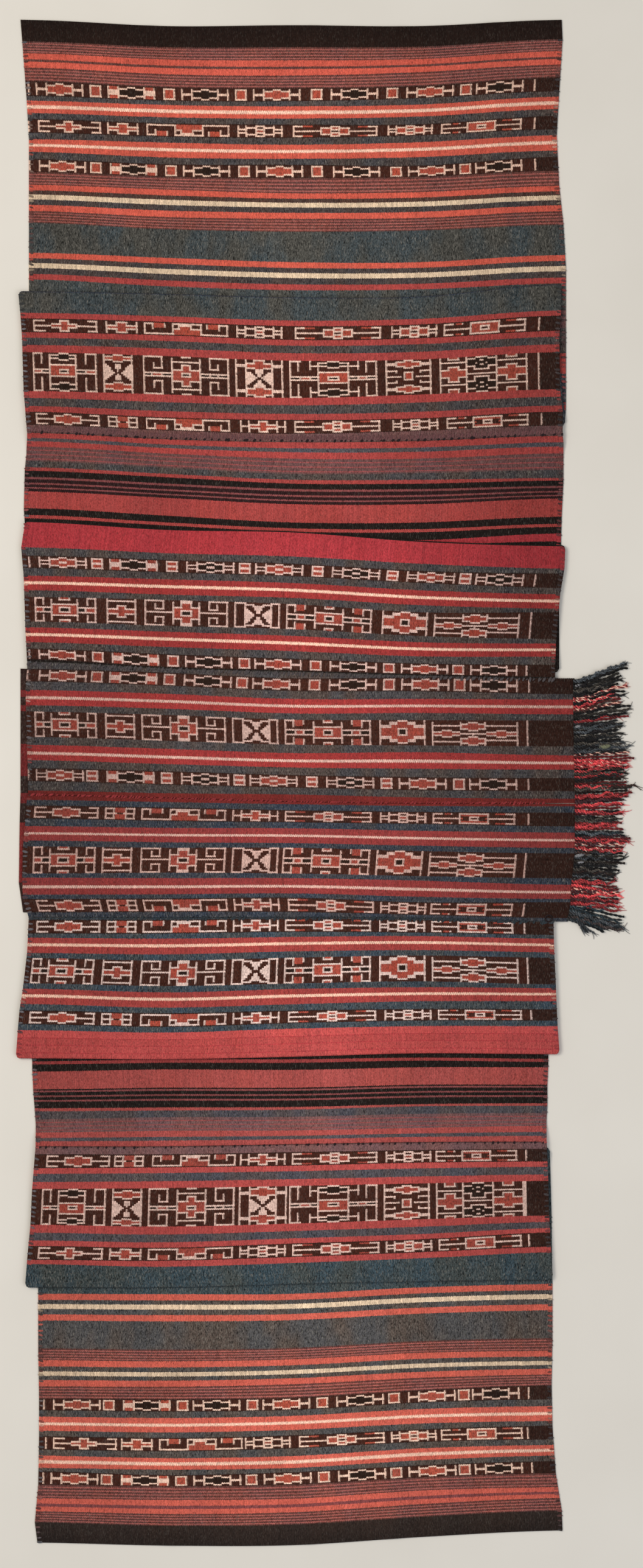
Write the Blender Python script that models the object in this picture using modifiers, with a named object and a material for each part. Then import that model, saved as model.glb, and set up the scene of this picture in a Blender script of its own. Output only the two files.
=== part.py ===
"""Long handwoven ikat cloth: six panels sewn side by side, laid flat in pleats, with a cord fringe.

The cloth lies on a surface at z = 0. X runs across the panels and Y along the row of panels.
Each panel is one sheet, and a pleated panel is one back-and-forth section of three layers.
"""
import math
from collections import namedtuple

import bmesh
import bpy

# Driving sizes, in metres.
CLOTH = 0.0015  # thickness of the woven cloth
LAYER = 0.0020  # rise from one folded layer to the next
SEAM_PULL = 0.0003  # how far each panel's edge stops short of its seam line
CORNER = 0.0045  # radius of the rounded corners at a fold's ends
STRIP = 0.0032  # width of the woven strip that the fringe cords grow out of
STRIP_GAP = 0.0005  # the strip's gap to the cloth
CORD = 0.0022  # width of one fringe cord
CORD_TIP = 0.0017  # its width at the tip
CORD_SWAY = 0.0009  # sideways waviness of a fringe cord
SWAY_TURN = 6.9  # angle that the waviness runs through over a cord's span, in radians
SWAY_STEP = 0.5  # how far each cord's waviness is ahead of its neighbour's, in radians
CORD_UNEVEN = 0.0025  # how much longer or shorter a cord is than the curve through the table
UNEVEN_STEP = 2.4  # turn from cord to cord of that unevenness, in radians
CORD_SPAN = 0.066  # reach from the edge at which a cord has its full rise
CORDS_UPPER = 40
CORDS_LOWER = 38
MARGIN_IN = 0.262  # X where the fringed panels start down to the surface
MARGIN_OUT = 0.289  # X where they lie on it

# Counts of steps.
FOLD_STEPS = 4
CORD_STEPS = 5

MM = 0.001
FOLD = 0  # marks a row that is the rounded edge between two layers

# X of the five guide lines that the tables' heights are given on, in millimetres.
GUIDES = (-340, -190, -40, 110, 260)

# Places of the mesh columns across a panel, as fractions of its width, closer at the two edges.
COLUMNS = (0, 0.003, 0.008, 0.03, 0.09, 0.19, 0.31, 0.43, 0.55, 0.67, 0.79, 0.88,
           0.935, 0.96, 0.98, 0.992, 0.997, 1)

# One row for each line across a panel, in millimetres: its height on the five guide lines,
# its left and right ends, and the layer it lies in, counted from the surface.
Row = namedtuple("Row", "line heights left right layer")

UPPER_END = (
    Row("far edge", (903, 896, 897, 896, 903), -363, 278, 1),
    Row("end of the plain border", (878, 871, 871, 872, 880), -361, 279, 1),
    Row("first narrow band", (813, 807, 807, 810, 818), -356, 275, 1),
    Row("second narrow band", (762, 758, 756, 759, 766), -353, 272, 1),
    Row("third narrow band", (708, 702, 698, 699, 707), -353, 275, 1),
    Row("blue band", (663, 656, 653, 654, 661), -353, 280, 1),
    Row("cream stripe", (615, 609, 603, 603, 609), -353, 283, 1),
    Row("lower layer", (523, 517, 512, 516, 526), -353, 283, 1),
    Row("lower fold", (424, 419, 415, 417, 422), -352, 282, FOLD),
    Row("middle layer", (523, 517, 512, 516, 526), -352, 272, 2),
    Row("upper fold", (582, 579, 575, 576, 590), -365, 277, FOLD),
    Row("blue band", (556, 552, 547, 550, 558), -363, 277, 3),
    Row("narrow band", (527, 522, 517, 520, 527), -361, 275, 3),
    Row("wide band", (463, 460, 455, 459, 465), -359, 276, 3),
    Row("last narrow band", (439, 432, 429, 432, 439), -357, 279, 3),
    Row("seam", (414, 407, 404, 405, 411), -355, 279, 3),
)
UPPER_INNER = (
    Row("seam", (414, 407, 404, 405, 411), -355, 279, 3),
    Row("top of the slope", (409, 401, 398, 399, 405), -355, 280, 2.6),
    Row("foot of the slope", (395, 388, 384, 386, 391), -356, 280, 1.2),
    Row("past the slope", (388, 381, 377, 378, 383), -356, 280, 1),
    Row("dark lines", (370, 362, 355, 355, 358), -358, 280, 1),
    Row("red band", (325, 316, 309, 309, 315), -359, 278, 1),
    Row("lower layer", (235, 229, 224, 217, 213), -354, 275, 1),
    Row("lower fold", (150, 143, 139, 134, 131), -351, 275, FOLD),
    Row("middle layer", (235, 229, 224, 217, 213), -350, 270, 2),
    Row("upper fold", (310, 301, 298, 287, 282), -358, 282, FOLD),
    Row("red band", (278, 272, 268, 260, 254), -362, 281, 3),
    Row("narrow band", (245, 241, 237, 228, 224), -359, 276, 3),
    Row("wide band", (184, 179, 174, 167, 165), -357, 271, 3),
    Row("seam", (143, 136, 131, 127, 124), -355, 270, 3),
)
UPPER_FRINGED = (
    Row("seam", (143, 136, 131, 127, 124), -355, 293, 3),
    Row("top of the slope", (134, 127, 123, 119, 116), -355, 293, 2.6),
    Row("foot of the slope", (124, 117, 113, 111, 108), -356, 293, 2),
    Row("narrow band", (110, 105, 100, 100, 99), -357, 293, 2),
    Row("wide band", (45, 41, 36, 36, 33), -355, 294, 2),
    Row("last narrow band", (1, -3, -6, -8, -10), -354, 295, 2),
    Row("middle seam", (-14, -18, -22, -23, -24), -354, 295, 2),
)
LOWER_FRINGED = (
    Row("middle seam", (-14, -18, -22, -23, -24), -355, 295, 2),
    Row("narrow band", (-43, -45, -46, -49, -51), -357, 295, 2),
    Row("wide band", (-75, -77, -77, -81, -83), -360, 295, 2),
    Row("white stripe", (-112, -113, -113, -116, -120), -361, 291, 2),
    Row("foot of the slope", (-137, -137, -136, -139, -142), -360, 290, 2),
    Row("top of the slope", (-149, -149, -149, -150, -154), -356, 288, 2.6),
    Row("seam", (-159, -159, -159, -160, -164), -353, 285, 3),
)
LOWER_INNER = (
    Row("seam", (-159, -159, -159, -160, -164), -353, 268, 3),
    Row("narrow band", (-201, -203, -199, -198, -200), -355, 269, 3),
    Row("wide band", (-244, -247, -244, -242, -242), -360, 271, 3),
    Row("last narrow band", (-269, -272, -269, -267, -267), -364, 272, 3),
    Row("red band", (-293, -295, -291, -288, -288), -366, 273, 3),
    Row("lower fold", (-326, -327, -324, -320, -321), -368, 275, FOLD),
    Row("middle layer", (-255, -256, -253, -250, -252), -351, 265, 2),
    Row("upper fold", (-166, -167, -166, -167, -171), -350, 263, FOLD),
    Row("bottom layer", (-255, -256, -253, -250, -252), -350, 263, 1),
    Row("red band", (-342, -339, -339, -337, -337), -349, 262, 1),
    Row("dark lines", (-363, -361, -360, -357, -357), -348, 261, 1),
    Row("purple band", (-388, -388, -386, -383, -382), -346, 261, 1),
    Row("before the slope", (-404, -404, -401, -399, -399), -345, 260, 1),
    Row("foot of the slope", (-411, -411, -408, -406, -405), -345, 260, 1.2),
    Row("top of the slope", (-424, -424, -421, -419, -418), -345, 260, 2.6),
    Row("seam", (-430, -430, -427, -425, -424), -345, 260, 3),
)
LOWER_END = (
    Row("seam", (-430, -430, -427, -425, -424), -345, 260, 3),
    Row("narrow band", (-455, -455, -453, -449, -447), -347, 261, 3),
    Row("wide band", (-480, -480, -477, -473, -471), -349, 262, 3),
    Row("end of the wide band", (-522, -525, -521, -516, -512), -351, 263, 3),
    Row("last narrow band", (-564, -566, -561, -555, -549), -355, 265, 3),
    Row("lower fold", (-597, -597, -593, -590, -588), -357, 267, FOLD),
    Row("middle layer", (-517, -519, -515, -512, -510), -346, 258, 2),
    Row("upper fold", (-437, -437, -434, -432, -431), -343, 264, FOLD),
    Row("bottom layer", (-517, -519, -515, -512, -510), -343, 266, 1),
    Row("first red stripe", (-604, -605, -604, -597, -593), -342, 267, 1),
    Row("blue band", (-669, -671, -669, -661, -657), -342, 267, 1),
    Row("third narrow band", (-728, -730, -728, -719, -713), -341, 266, 1),
    Row("second narrow band", (-773, -775, -773, -765, -761), -341, 267, 1),
    Row("first narrow band", (-831, -833, -831, -822, -817), -342, 271, 1),
    Row("start of the plain border", (-875, -879, -877, -869, -861), -346, 278, 1),
    Row("far edge", (-899, -903, -902, -892, -885), -343, 279, 1),
)
UNDER = (
    Row("below the upper seam", (135, 129, 125, 121, 119), -363, 239, 1),
    Row("under the middle seam", (-11, -15, -18, -21, -23), -363, 239, 1),
    Row("under the wide band", (-82, -84, -85, -88, -90), -365, 239, 1),
    Row("under the white stripe", (-132, -134, -134, -136, -139), -365, 239, 1),
    Row("above the lower seam", (-153, -154, -154, -156, -159), -360, 239, 1),
)

# The fringe in millimetres: a cord's root along the cloth's edge, where its tip reaches in X,
# and how far a cord of full span that grows there would rise. Cords between two rows take
# places between them. Neighbours bend alike, so they never cross.
Tip = namedtuple("Tip", "root reach rise")

UPPER_TIPS = (
    Tip(121, 359, 19), Tip(114, 351, 17), Tip(105, 352, 15), Tip(97, 359, 13), Tip(88, 355, 11),
    Tip(80, 362, 8), Tip(69, 355, 6), Tip(55, 351, 4), Tip(41, 355, 3), Tip(28, 366, 2),
    Tip(18, 355, 2), Tip(5, 355, 3), Tip(-7, 363, 3), Tip(-14, 368, 3), Tip(-22, 356, 2),
)
LOWER_TIPS = (
    Tip(-26, 353, 1), Tip(-35, 352, 0), Tip(-43, 347, 0), Tip(-51, 349, 0), Tip(-66, 362, 0),
    Tip(-75, 353, 0), Tip(-83, 350, -1), Tip(-93, 355, -1), Tip(-102, 345, -3), Tip(-111, 342, -4),
    Tip(-128, 350, -5), Tip(-138, 347, -7), Tip(-147, 353, -10), Tip(-153, 350, -13),
    Tip(-157, 334, -18), Tip(-161, 311, -70),
)


def clear_scene():
    for obj in list(bpy.data.objects):
        bpy.data.objects.remove(obj, do_unlink=True)


def dyed_cotton(name, rgb, roughness=0.9):
    """A matt material of one dyed colour."""
    material = bpy.data.materials.new(name)
    material.use_nodes = True
    shader = material.node_tree.nodes["Principled BSDF"]
    shader.inputs["Base Color"].default_value = (*rgb, 1)
    shader.inputs["Roughness"].default_value = roughness
    shader.inputs["Metallic"].default_value = 0
    return material


def ease(t):
    """0 before 0, 1 after 1, and a smooth step between."""
    t = min(max(t, 0), 1)
    return t * t * (3 - 2 * t)


def across(heights, x):
    """A table line's height at x, on a smooth curve through its five guide heights, in metres."""
    spacing = (GUIDES[1] - GUIDES[0]) * MM
    place = (x - GUIDES[0] * MM) / spacing
    i = min(max(int(math.floor(place)), 0), len(GUIDES) - 2)
    before = heights[max(i - 1, 0)]
    start = heights[i]
    end = heights[i + 1]
    after = heights[min(i + 2, len(GUIDES) - 1)]
    t = place - i
    slope_in = (end - before) / 2
    slope_out = (after - start) / 2
    if t < 0:
        return (start + slope_in * t) * MM
    if t > 1:
        return (end + slope_out * (t - 1)) * MM
    curve = (start * (2 * t**3 - 3 * t**2 + 1) + slope_in * (t**3 - 2 * t**2 + t)
             + end * (3 * t**2 - 2 * t**3) + slope_out * (t**3 - t**2))
    return curve * MM


def layer_z(layer):
    """Height of the middle of the cloth in a layer."""
    return CLOTH / 2 + (layer - 1) * LAYER


def corner_drop(distance):
    """How far a fold's edge falls back at this distance from its end, on a quarter circle."""
    t = min(max(distance / CORNER, 0), 1)
    return CORNER * (1 - math.sqrt(1 - (1 - t) ** 2))


def stations(rows):
    """Yield every mesh line of a panel: its table row, its turn round a fold and its height.

    The turn is an angle from -90 to 90 degrees on a fold, and None on a flat line.
    """
    for i, row in enumerate(rows):
        if row.layer != FOLD:
            yield row, None, 0, layer_z(row.layer)
            continue
        low, high = layer_z(rows[i - 1].layer), layer_z(rows[i + 1].layer)
        outward = 1 if row.heights[2] > rows[i - 1].heights[2] else -1
        for step in range(FOLD_STEPS + 1):
            angle = math.pi * (step / FOLD_STEPS - 0.5)
            height = (low + high) / 2 + math.sin(angle) * (high - low) / 2
            yield row, angle, outward, height


def sheet(name, rows, material, above=0.0, below=0.0, trim=0.0, margin=False):
    """One panel: a flat grid moved onto the table's lines and folds, then given its thickness."""
    lines = list(stations(rows))
    mesh = bpy.data.meshes.new(name)
    bm = bmesh.new()
    bmesh.ops.create_grid(bm, x_segments=len(COLUMNS) - 1, y_segments=len(lines) - 1, size=1)
    for vert in bm.verts:
        column = round((vert.co.x + 1) / 2 * (len(COLUMNS) - 1))
        index = round((1 - vert.co.y) / 2 * (len(lines) - 1))
        row, angle, outward, z = lines[index]
        left = row.left * MM
        right = row.right * MM - trim
        x = left + (right - left) * COLUMNS[column]
        y = across(row.heights, x)
        if angle is not None:
            turn_back = CLOTH / 2 + LAYER / 2 * (1 - math.cos(angle))
            y -= outward * (turn_back + corner_drop(min(x - left, right - x)))
        if index == 0:
            y -= above
        if index == len(lines) - 1:
            y += below
        if margin:
            fall = ease((x - MARGIN_IN) / (MARGIN_OUT - MARGIN_IN))
            z = layer_z(1) + (z - layer_z(1)) * (1 - fall)
        vert.co = (x, y, z)
    bmesh.ops.recalc_face_normals(bm, faces=bm.faces)
    bm.to_mesh(mesh)
    bm.free()
    return finish_sheet(name, mesh, material)


def finish_sheet(name, mesh, material):
    """Give an open surface the cloth's thickness and its material."""
    obj = bpy.data.objects.new(name, mesh)
    mesh.materials.append(material)
    solid = obj.modifiers.new("thickness", "SOLIDIFY")
    solid.thickness = CLOTH
    solid.offset = 0
    solid.use_even_offset = True
    solid.use_rim = True
    solid.use_quality_normals = True
    return obj


def woven_edge(rows, y):
    """X of a fringed panel's woven edge at this height."""
    last = len(GUIDES) - 1
    places = [(row.heights[last] * MM, row.right * MM) for row in rows]
    for (y_high, x_high), (y_low, x_low) in zip(places, places[1:]):
        if y >= y_low:
            t = min((y_high - y) / (y_high - y_low), 1)
            return x_high + (x_low - x_high) * max(t, 0)
    return places[-1][1]


def cord_tip(tips, root):
    """Reach and rise of the cord that grows at this root, between the table's rows."""
    for upper, lower in zip(tips, tips[1:]):
        if root >= lower.root * MM:
            t = (upper.root * MM - root) / ((upper.root - lower.root) * MM)
            t = min(max(t, 0), 1)
            reach = upper.reach + (lower.reach - upper.reach) * t
            rise = upper.rise + (lower.rise - upper.rise) * t
            return reach * MM, rise * MM
    return tips[-1].reach * MM, tips[-1].rise * MM


def cord_point(base, reach, rise, t, number):
    """Middle of a cord at fraction t of its reach: straight out, then bending up or down."""
    x = base[0] + (reach - base[0]) * t
    span = (x - base[0]) / CORD_SPAN
    sway = CORD_SWAY * math.sin(SWAY_TURN * span + SWAY_STEP * number) * span
    return x, base[1] + rise * ease(span) + sway


def fringe(name, rows, tips, count, material):
    """A narrow woven strip with its cords, drawn flat as one surface, then given its thickness."""
    top = tips[0].root * MM
    bottom = tips[-1].root * MM
    pitch = (top - bottom) / (count - 1)
    mesh = bpy.data.meshes.new(name)
    bm = bmesh.new()
    bmesh.ops.create_grid(bm, x_segments=1, y_segments=2 * count - 1, size=1)
    for vert in bm.verts:
        line = round((1 - vert.co.y) / 2 * (2 * count - 1))
        root = top - (line // 2) * pitch
        y = root + (CORD / 2 if line % 2 == 0 else -CORD / 2)
        outer = woven_edge(rows, y)
        vert.co = (outer if vert.co.x > 0 else outer - STRIP, y, CLOTH / 2)
    for number in range(count):
        grow_cord(bm, rows, tips, top - number * pitch, number)
    bmesh.ops.recalc_face_normals(bm, faces=bm.faces)
    bm.to_mesh(mesh)
    bm.free()
    return finish_sheet(name, mesh, material)


def grow_cord(bm, rows, tips, root, number):
    """Extrude one cord, step by step, out of the strip's outer edge at this root."""
    base = (woven_edge(rows, root), root)
    reach, rise = cord_tip(tips, root)
    reach += CORD_UNEVEN * math.sin(UNEVEN_STEP * number)
    edge = root_edge(bm, base)
    for step in range(1, CORD_STEPS + 1):
        t = step / CORD_STEPS
        x, y = cord_point(base, reach, rise, t, number)
        x_back, y_back = cord_point(base, reach, rise, t - 0.5 / CORD_STEPS, number)
        length = math.hypot(x - x_back, y - y_back)
        side = ((y_back - y) / length, (x - x_back) / length)
        half = (CORD + (CORD_TIP - CORD) * t) / 2
        grown = bmesh.ops.extrude_edge_only(bm, edges=[edge])
        verts = [item for item in grown["geom"] if isinstance(item, bmesh.types.BMVert)]
        edge = [item for item in grown["geom"] if isinstance(item, bmesh.types.BMEdge)][0]
        upper, lower = sorted(verts, key=lambda vert: -vert.co.y)
        upper.co = (x + side[0] * half, y + side[1] * half, CLOTH / 2)
        lower.co = (x - side[0] * half, y - side[1] * half, CLOTH / 2)


def root_edge(bm, base):
    """The strip's outer edge that lies nearest to a cord's root."""
    def distance(edge):
        middle = (edge.verts[0].co + edge.verts[1].co) / 2
        return math.hypot(middle.x - base[0], middle.y - base[1])
    return min((edge for edge in bm.edges if edge.is_boundary), key=distance)


def build():
    clear_scene()
    red_brown = dyed_cotton("red_and_brown_ikat", (0.22, 0.06, 0.05))
    crimson = dyed_cotton("crimson_and_black_ikat", (0.20, 0.04, 0.05))
    blue_grey = dyed_cotton("blue_grey_ikat", (0.14, 0.09, 0.09))
    under_brown = dyed_cotton("brown_under_cloth", (0.10, 0.04, 0.04))
    cord_red = dyed_cotton("red_and_grey_cords", (0.18, 0.06, 0.07))
    edge_trim = STRIP + STRIP_GAP
    parts = [
        sheet("upper_end_panel", UPPER_END, red_brown, below=SEAM_PULL),
        sheet("upper_inner_panel", UPPER_INNER, crimson, above=SEAM_PULL, below=SEAM_PULL),
        sheet("upper_fringed_panel", UPPER_FRINGED, blue_grey, above=SEAM_PULL, below=SEAM_PULL,
              trim=edge_trim, margin=True),
        sheet("lower_fringed_panel", LOWER_FRINGED, blue_grey, above=SEAM_PULL, below=SEAM_PULL,
              trim=edge_trim, margin=True),
        sheet("lower_inner_panel", LOWER_INNER, crimson, above=SEAM_PULL, below=SEAM_PULL),
        sheet("lower_end_panel", LOWER_END, red_brown, above=SEAM_PULL),
        sheet("under_panel", UNDER, under_brown),
        fringe("upper_fringe", UPPER_FRINGED, UPPER_TIPS, CORDS_UPPER, cord_red),
        fringe("lower_fringe", LOWER_FRINGED, LOWER_TIPS, CORDS_LOWER, cord_red),
    ]
    collection = bpy.data.collections.new("folded_ikat_cloth")
    bpy.context.scene.collection.children.link(collection)
    for part in parts:
        collection.objects.link(part)


build()
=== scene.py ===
# %% [markdown]
# # A folded ikat cloth
# The real thing is a long handwoven cotton cloth. Six striped panels are sewn edge to edge, and four
# of them are pleated once, so that the cloth lies in steps. The middle two end in a fringe of cords.
# The stripes with white figures are ikat: the threads were bound and dyed before they were woven.
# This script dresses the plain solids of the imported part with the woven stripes, the figures, the
# stitches and the fringe. Every object is in metres, with +Y up the photograph and the cloth on z = 0.

# %% Load the fixed frame
import math
from collections import namedtuple

import bpy
import numpy as np
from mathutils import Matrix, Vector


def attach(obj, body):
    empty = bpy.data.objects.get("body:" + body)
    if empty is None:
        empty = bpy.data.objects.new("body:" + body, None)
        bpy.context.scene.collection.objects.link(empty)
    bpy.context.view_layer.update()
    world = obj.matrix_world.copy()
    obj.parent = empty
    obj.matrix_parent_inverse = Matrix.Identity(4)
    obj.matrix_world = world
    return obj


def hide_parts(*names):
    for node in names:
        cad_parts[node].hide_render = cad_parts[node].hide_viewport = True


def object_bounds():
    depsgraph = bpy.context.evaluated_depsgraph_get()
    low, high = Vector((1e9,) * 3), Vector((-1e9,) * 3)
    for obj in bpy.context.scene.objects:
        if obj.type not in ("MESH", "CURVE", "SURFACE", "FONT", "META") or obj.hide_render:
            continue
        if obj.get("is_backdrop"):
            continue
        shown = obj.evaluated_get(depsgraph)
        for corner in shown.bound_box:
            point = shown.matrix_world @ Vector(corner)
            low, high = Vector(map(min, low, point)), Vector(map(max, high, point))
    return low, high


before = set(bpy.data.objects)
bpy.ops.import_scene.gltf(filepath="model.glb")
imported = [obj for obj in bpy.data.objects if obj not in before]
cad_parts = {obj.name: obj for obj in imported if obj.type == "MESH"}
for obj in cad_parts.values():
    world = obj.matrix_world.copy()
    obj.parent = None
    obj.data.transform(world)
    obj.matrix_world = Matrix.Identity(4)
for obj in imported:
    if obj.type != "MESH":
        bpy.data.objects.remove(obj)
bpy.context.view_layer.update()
print("solids:", ", ".join(sorted(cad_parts)))

# %% [markdown]
# ## Sizes
# A weaver thinks in threads. One rib of this cloth is 2.38 mm wide, and everything that is figured
# on it is drawn in whole ribs. The heights of the stripes are given on five guide lines down the
# cloth, because no stripe runs quite straight on a cloth made by hand.

# %% Sizes of the cloth
MM = 0.001
CLOTH = 0.0015  # thickness of the woven cloth
LAYER = 0.0020  # rise from one folded layer to the next
CORNER = 0.0045  # radius of the rounded corners at a fold's ends
SEAM_PULL = 0.0003  # how far each panel's edge stops short of its seam line
EDGE_ROLL = 0.0006  # how far a sewn edge rolls down into its seam
ROLL_WIDTH = 0.0012  # how wide that roll is
ROLL_MOST = 0.6  # and how much of the strip beside the seam it may take
MARGIN_IN, MARGIN_OUT = 0.262, 0.289  # X between which the fringed panels come down to the surface
RIB = 0.00238  # width of one rib of the weave
RIB_RISE = 0.00015  # how far a rib stands above and below the middle of the cloth's face
SCALLOP = 0.00030  # how far a stripe's edge waves up and down from rib to rib
SCALLOP_NOISE = 0.00014  # how uneven those waves are
FOLD_STEPS = 4  # mesh lines that turn round a fold, less one
GUIDES = (-340, -190, -40, 110, 260)  # X of the five guide lines, in millimetres


def across(heights, x):
    """Height at x of a line across the cloth, on a smooth curve through its five guide heights."""
    heights = np.asarray(heights, float)
    place = (np.asarray(x) / MM - GUIDES[0]) / (GUIDES[1] - GUIDES[0])
    i = np.clip(np.floor(place).astype(int), 0, len(GUIDES) - 2)
    start, end = heights[i], heights[i + 1]
    slope_in = (end - heights[np.maximum(i - 1, 0)]) / 2
    slope_out = (heights[np.minimum(i + 2, len(GUIDES) - 1)] - start) / 2
    t = np.clip(place - i, 0, 1)
    curve = (start * (2 * t**3 - 3 * t**2 + 1) + slope_in * (t**3 - 2 * t**2 + t)
             + end * (3 * t**2 - 2 * t**3) + slope_out * (t**3 - t**2))
    past = place - i - t
    return (curve + past * np.where(past < 0, slope_in, slope_out)) * MM


def ease(t):
    """0 before 0, 1 after 1, and a smooth step between."""
    t = np.clip(t, 0, 1)
    return t * t * (3 - 2 * t)


def layer_z(layer):
    """Height of the middle of the cloth in a layer, counted from the surface."""
    return CLOTH / 2 + (np.asarray(layer) - 1) * LAYER


print(f"{RIB / MM:.2f} mm ribs, so a cloth 640 mm wide has {0.640 / RIB:.0f} of them")

# %% [markdown]
# ## Camera, floor and light
# The cloth was photographed from straight above with a long lens. The camera frames 1855 mm of it
# from top to bottom. A pale sheet of card lies under it. A soft warm lamp at the upper left draws
# the ribs and the folds, a wider and weaker one at the lower right opens the shadows, and an even
# sky fills the rest.

# %% Camera
FRAME_HEIGHT = 1.855  # metres of cloth from the top to the bottom of the picture
FRAME_CENTRE = (-0.0065, -0.0011)
LENS, SENSOR = 100, 36
camera_data = bpy.data.cameras.new("camera")
camera_data.lens, camera_data.sensor_width = LENS, SENSOR
camera = bpy.data.objects.new("camera", camera_data)
camera.location = (*FRAME_CENTRE, FRAME_HEIGHT * LENS / SENSOR + 2 * LAYER)
bpy.context.scene.collection.objects.link(camera)
bpy.context.scene.camera = camera
print(f"camera {camera.location.z:.2f} m above the cloth")


# %% Helpers for colours and nodes
def linear(hex_colour, alpha=1.0):
    """An sRGB hex colour as linear light, with a fourth number."""
    parts = [int(hex_colour[i:i + 2], 16) / 255 for i in (0, 2, 4)]
    light = [c / 12.92 if c <= 0.04045 else ((c + 0.055) / 1.055) ** 2.4 for c in parts]
    return (*light, alpha)


def add(tree, kind, inputs=None, **settings):
    """Add one node to a tree. An input is a value, or the output of an earlier node to link."""
    node = tree.nodes.new(kind)
    for name, value in settings.items():
        setattr(node, name, value)
    for name, value in (inputs or {}).items():
        if isinstance(value, bpy.types.NodeSocket):
            tree.links.new(value, node.inputs[name])
        else:
            node.inputs[name].default_value = value
    return node


def calc(tree, operation, *values):
    """What a Math node works out from up to three values."""
    return add(tree, "ShaderNodeMath", dict(enumerate(values)), operation=operation).outputs[0]


def vector_calc(tree, operation, first, second):
    """What a Vector Math node works out from a vector and a vector or, for SCALE, a number."""
    slot = "Scale" if operation == "SCALE" else 1
    return add(tree, "ShaderNodeVectorMath", {0: first, slot: second}, operation=operation).outputs[0]


def remap(tree, value, low, high, to_low=0.0, to_high=1.0):
    """A value moved from one range to another, and held inside it."""
    return add(tree, "ShaderNodeMapRange", {"Value": value, "From Min": low, "From Max": high,
                                            "To Min": to_low, "To Max": to_high}).outputs[0]


def mix(tree, share, first, second, kind="RGBA"):
    """Two colours, or two vectors, mixed by a share of the second."""
    slot = {"VECTOR": 4, "RGBA": 6}[kind]
    node = add(tree, "ShaderNodeMix", {0: share, slot: first, slot + 1: second}, data_type=kind)
    return node.outputs[slot // 2 - 1]


def new_material(name, roughness):
    """A material with its tree, its shader, and the place of each point on the object."""
    material = bpy.data.materials.new(name)
    material.use_nodes = True
    tree = material.node_tree
    shader = tree.nodes["Principled BSDF"]
    shader.inputs["Roughness"].default_value = roughness
    return material, tree, shader, add(tree, "ShaderNodeTexCoord").outputs["Object"]


# %% Floor and lamps
LAMPS = (  # name, place, width, watts and colour of each square lamp
    ("key_lamp", (-2.0, 0.7, 2.7), 1.6, 64, "FFF6EA"), ("fill_lamp", (1.9, -1.3, 2.6), 2.4, 28, "F2F5FF"),
)
SKY_COLOUR, SKY_STRENGTH = "F4F4F2", 0.48
CARD_DARK, CARD_PALE, CARD_MOTTLES = "DAD6CE", "E4E1DA", 6  # two tones of the floor, and mottles a metre
FLOOR_REACH = 6  # metres of floor on each side of the cloth's middle


def area_lamp(name, place, size, watts, colour):
    """A square lamp that points at the middle of the cloth."""
    lamp = bpy.data.lights.new(name, "AREA")
    lamp.size, lamp.energy, lamp.color = size, watts, linear(colour)[:3]
    obj = bpy.data.objects.new(name, lamp)
    obj.location = place
    obj.rotation_euler = (-obj.location).to_track_quat("-Z", "Y").to_euler()
    bpy.context.scene.collection.objects.link(obj)


def pale_card():
    """Matt card: a warm near-white with the faintest mottling, which takes soft shadows."""
    material, tree, shader, place = new_material("pale_matt_card", 0.9)
    mottle = add(tree, "ShaderNodeTexNoise", {"Vector": place, "Scale": CARD_MOTTLES, "Detail": 3})
    ramp = add(tree, "ShaderNodeValToRGB", {"Fac": mottle.outputs[0]})
    ramp.color_ramp.elements[0].color = linear(CARD_DARK)
    ramp.color_ramp.elements[1].color = linear(CARD_PALE)
    tree.links.new(ramp.outputs["Color"], shader.inputs["Base Color"])
    return material


corners = [(FLOOR_REACH * x, FLOOR_REACH * y, 0) for x, y in ((-1, -1), (1, -1), (1, 1), (-1, 1))]
floor_mesh = bpy.data.meshes.new("floor")
floor_mesh.from_pydata(corners, [], [(0, 1, 2, 3)])
floor_mesh.materials.append(pale_card())
floor = bpy.data.objects.new("floor", floor_mesh)
bpy.context.scene.collection.objects.link(floor)
floor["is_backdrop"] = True
for lamp in LAMPS:
    area_lamp(*lamp)
world = bpy.data.worlds.new("studio")
world.use_nodes = True
sky = world.node_tree.nodes["Background"]
sky.inputs["Color"].default_value = linear(SKY_COLOUR)
sky.inputs["Strength"].default_value = SKY_STRENGTH
bpy.context.scene.world = world
bpy.context.scene.view_settings.view_transform = "Standard"
print(len(LAMPS), "lamps, 1 sky and a floor")

# %% [markdown]
# ## Dyes
# The cotton was dyed with root reds, indigo and mud browns, so every colour is a dull one. Each dye
# has its plain colour and a number from 0 to 1 for its flecks, the pale thread ends that show most
# on the plain dark stripes, where the weft peeps out between the ribs.

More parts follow.
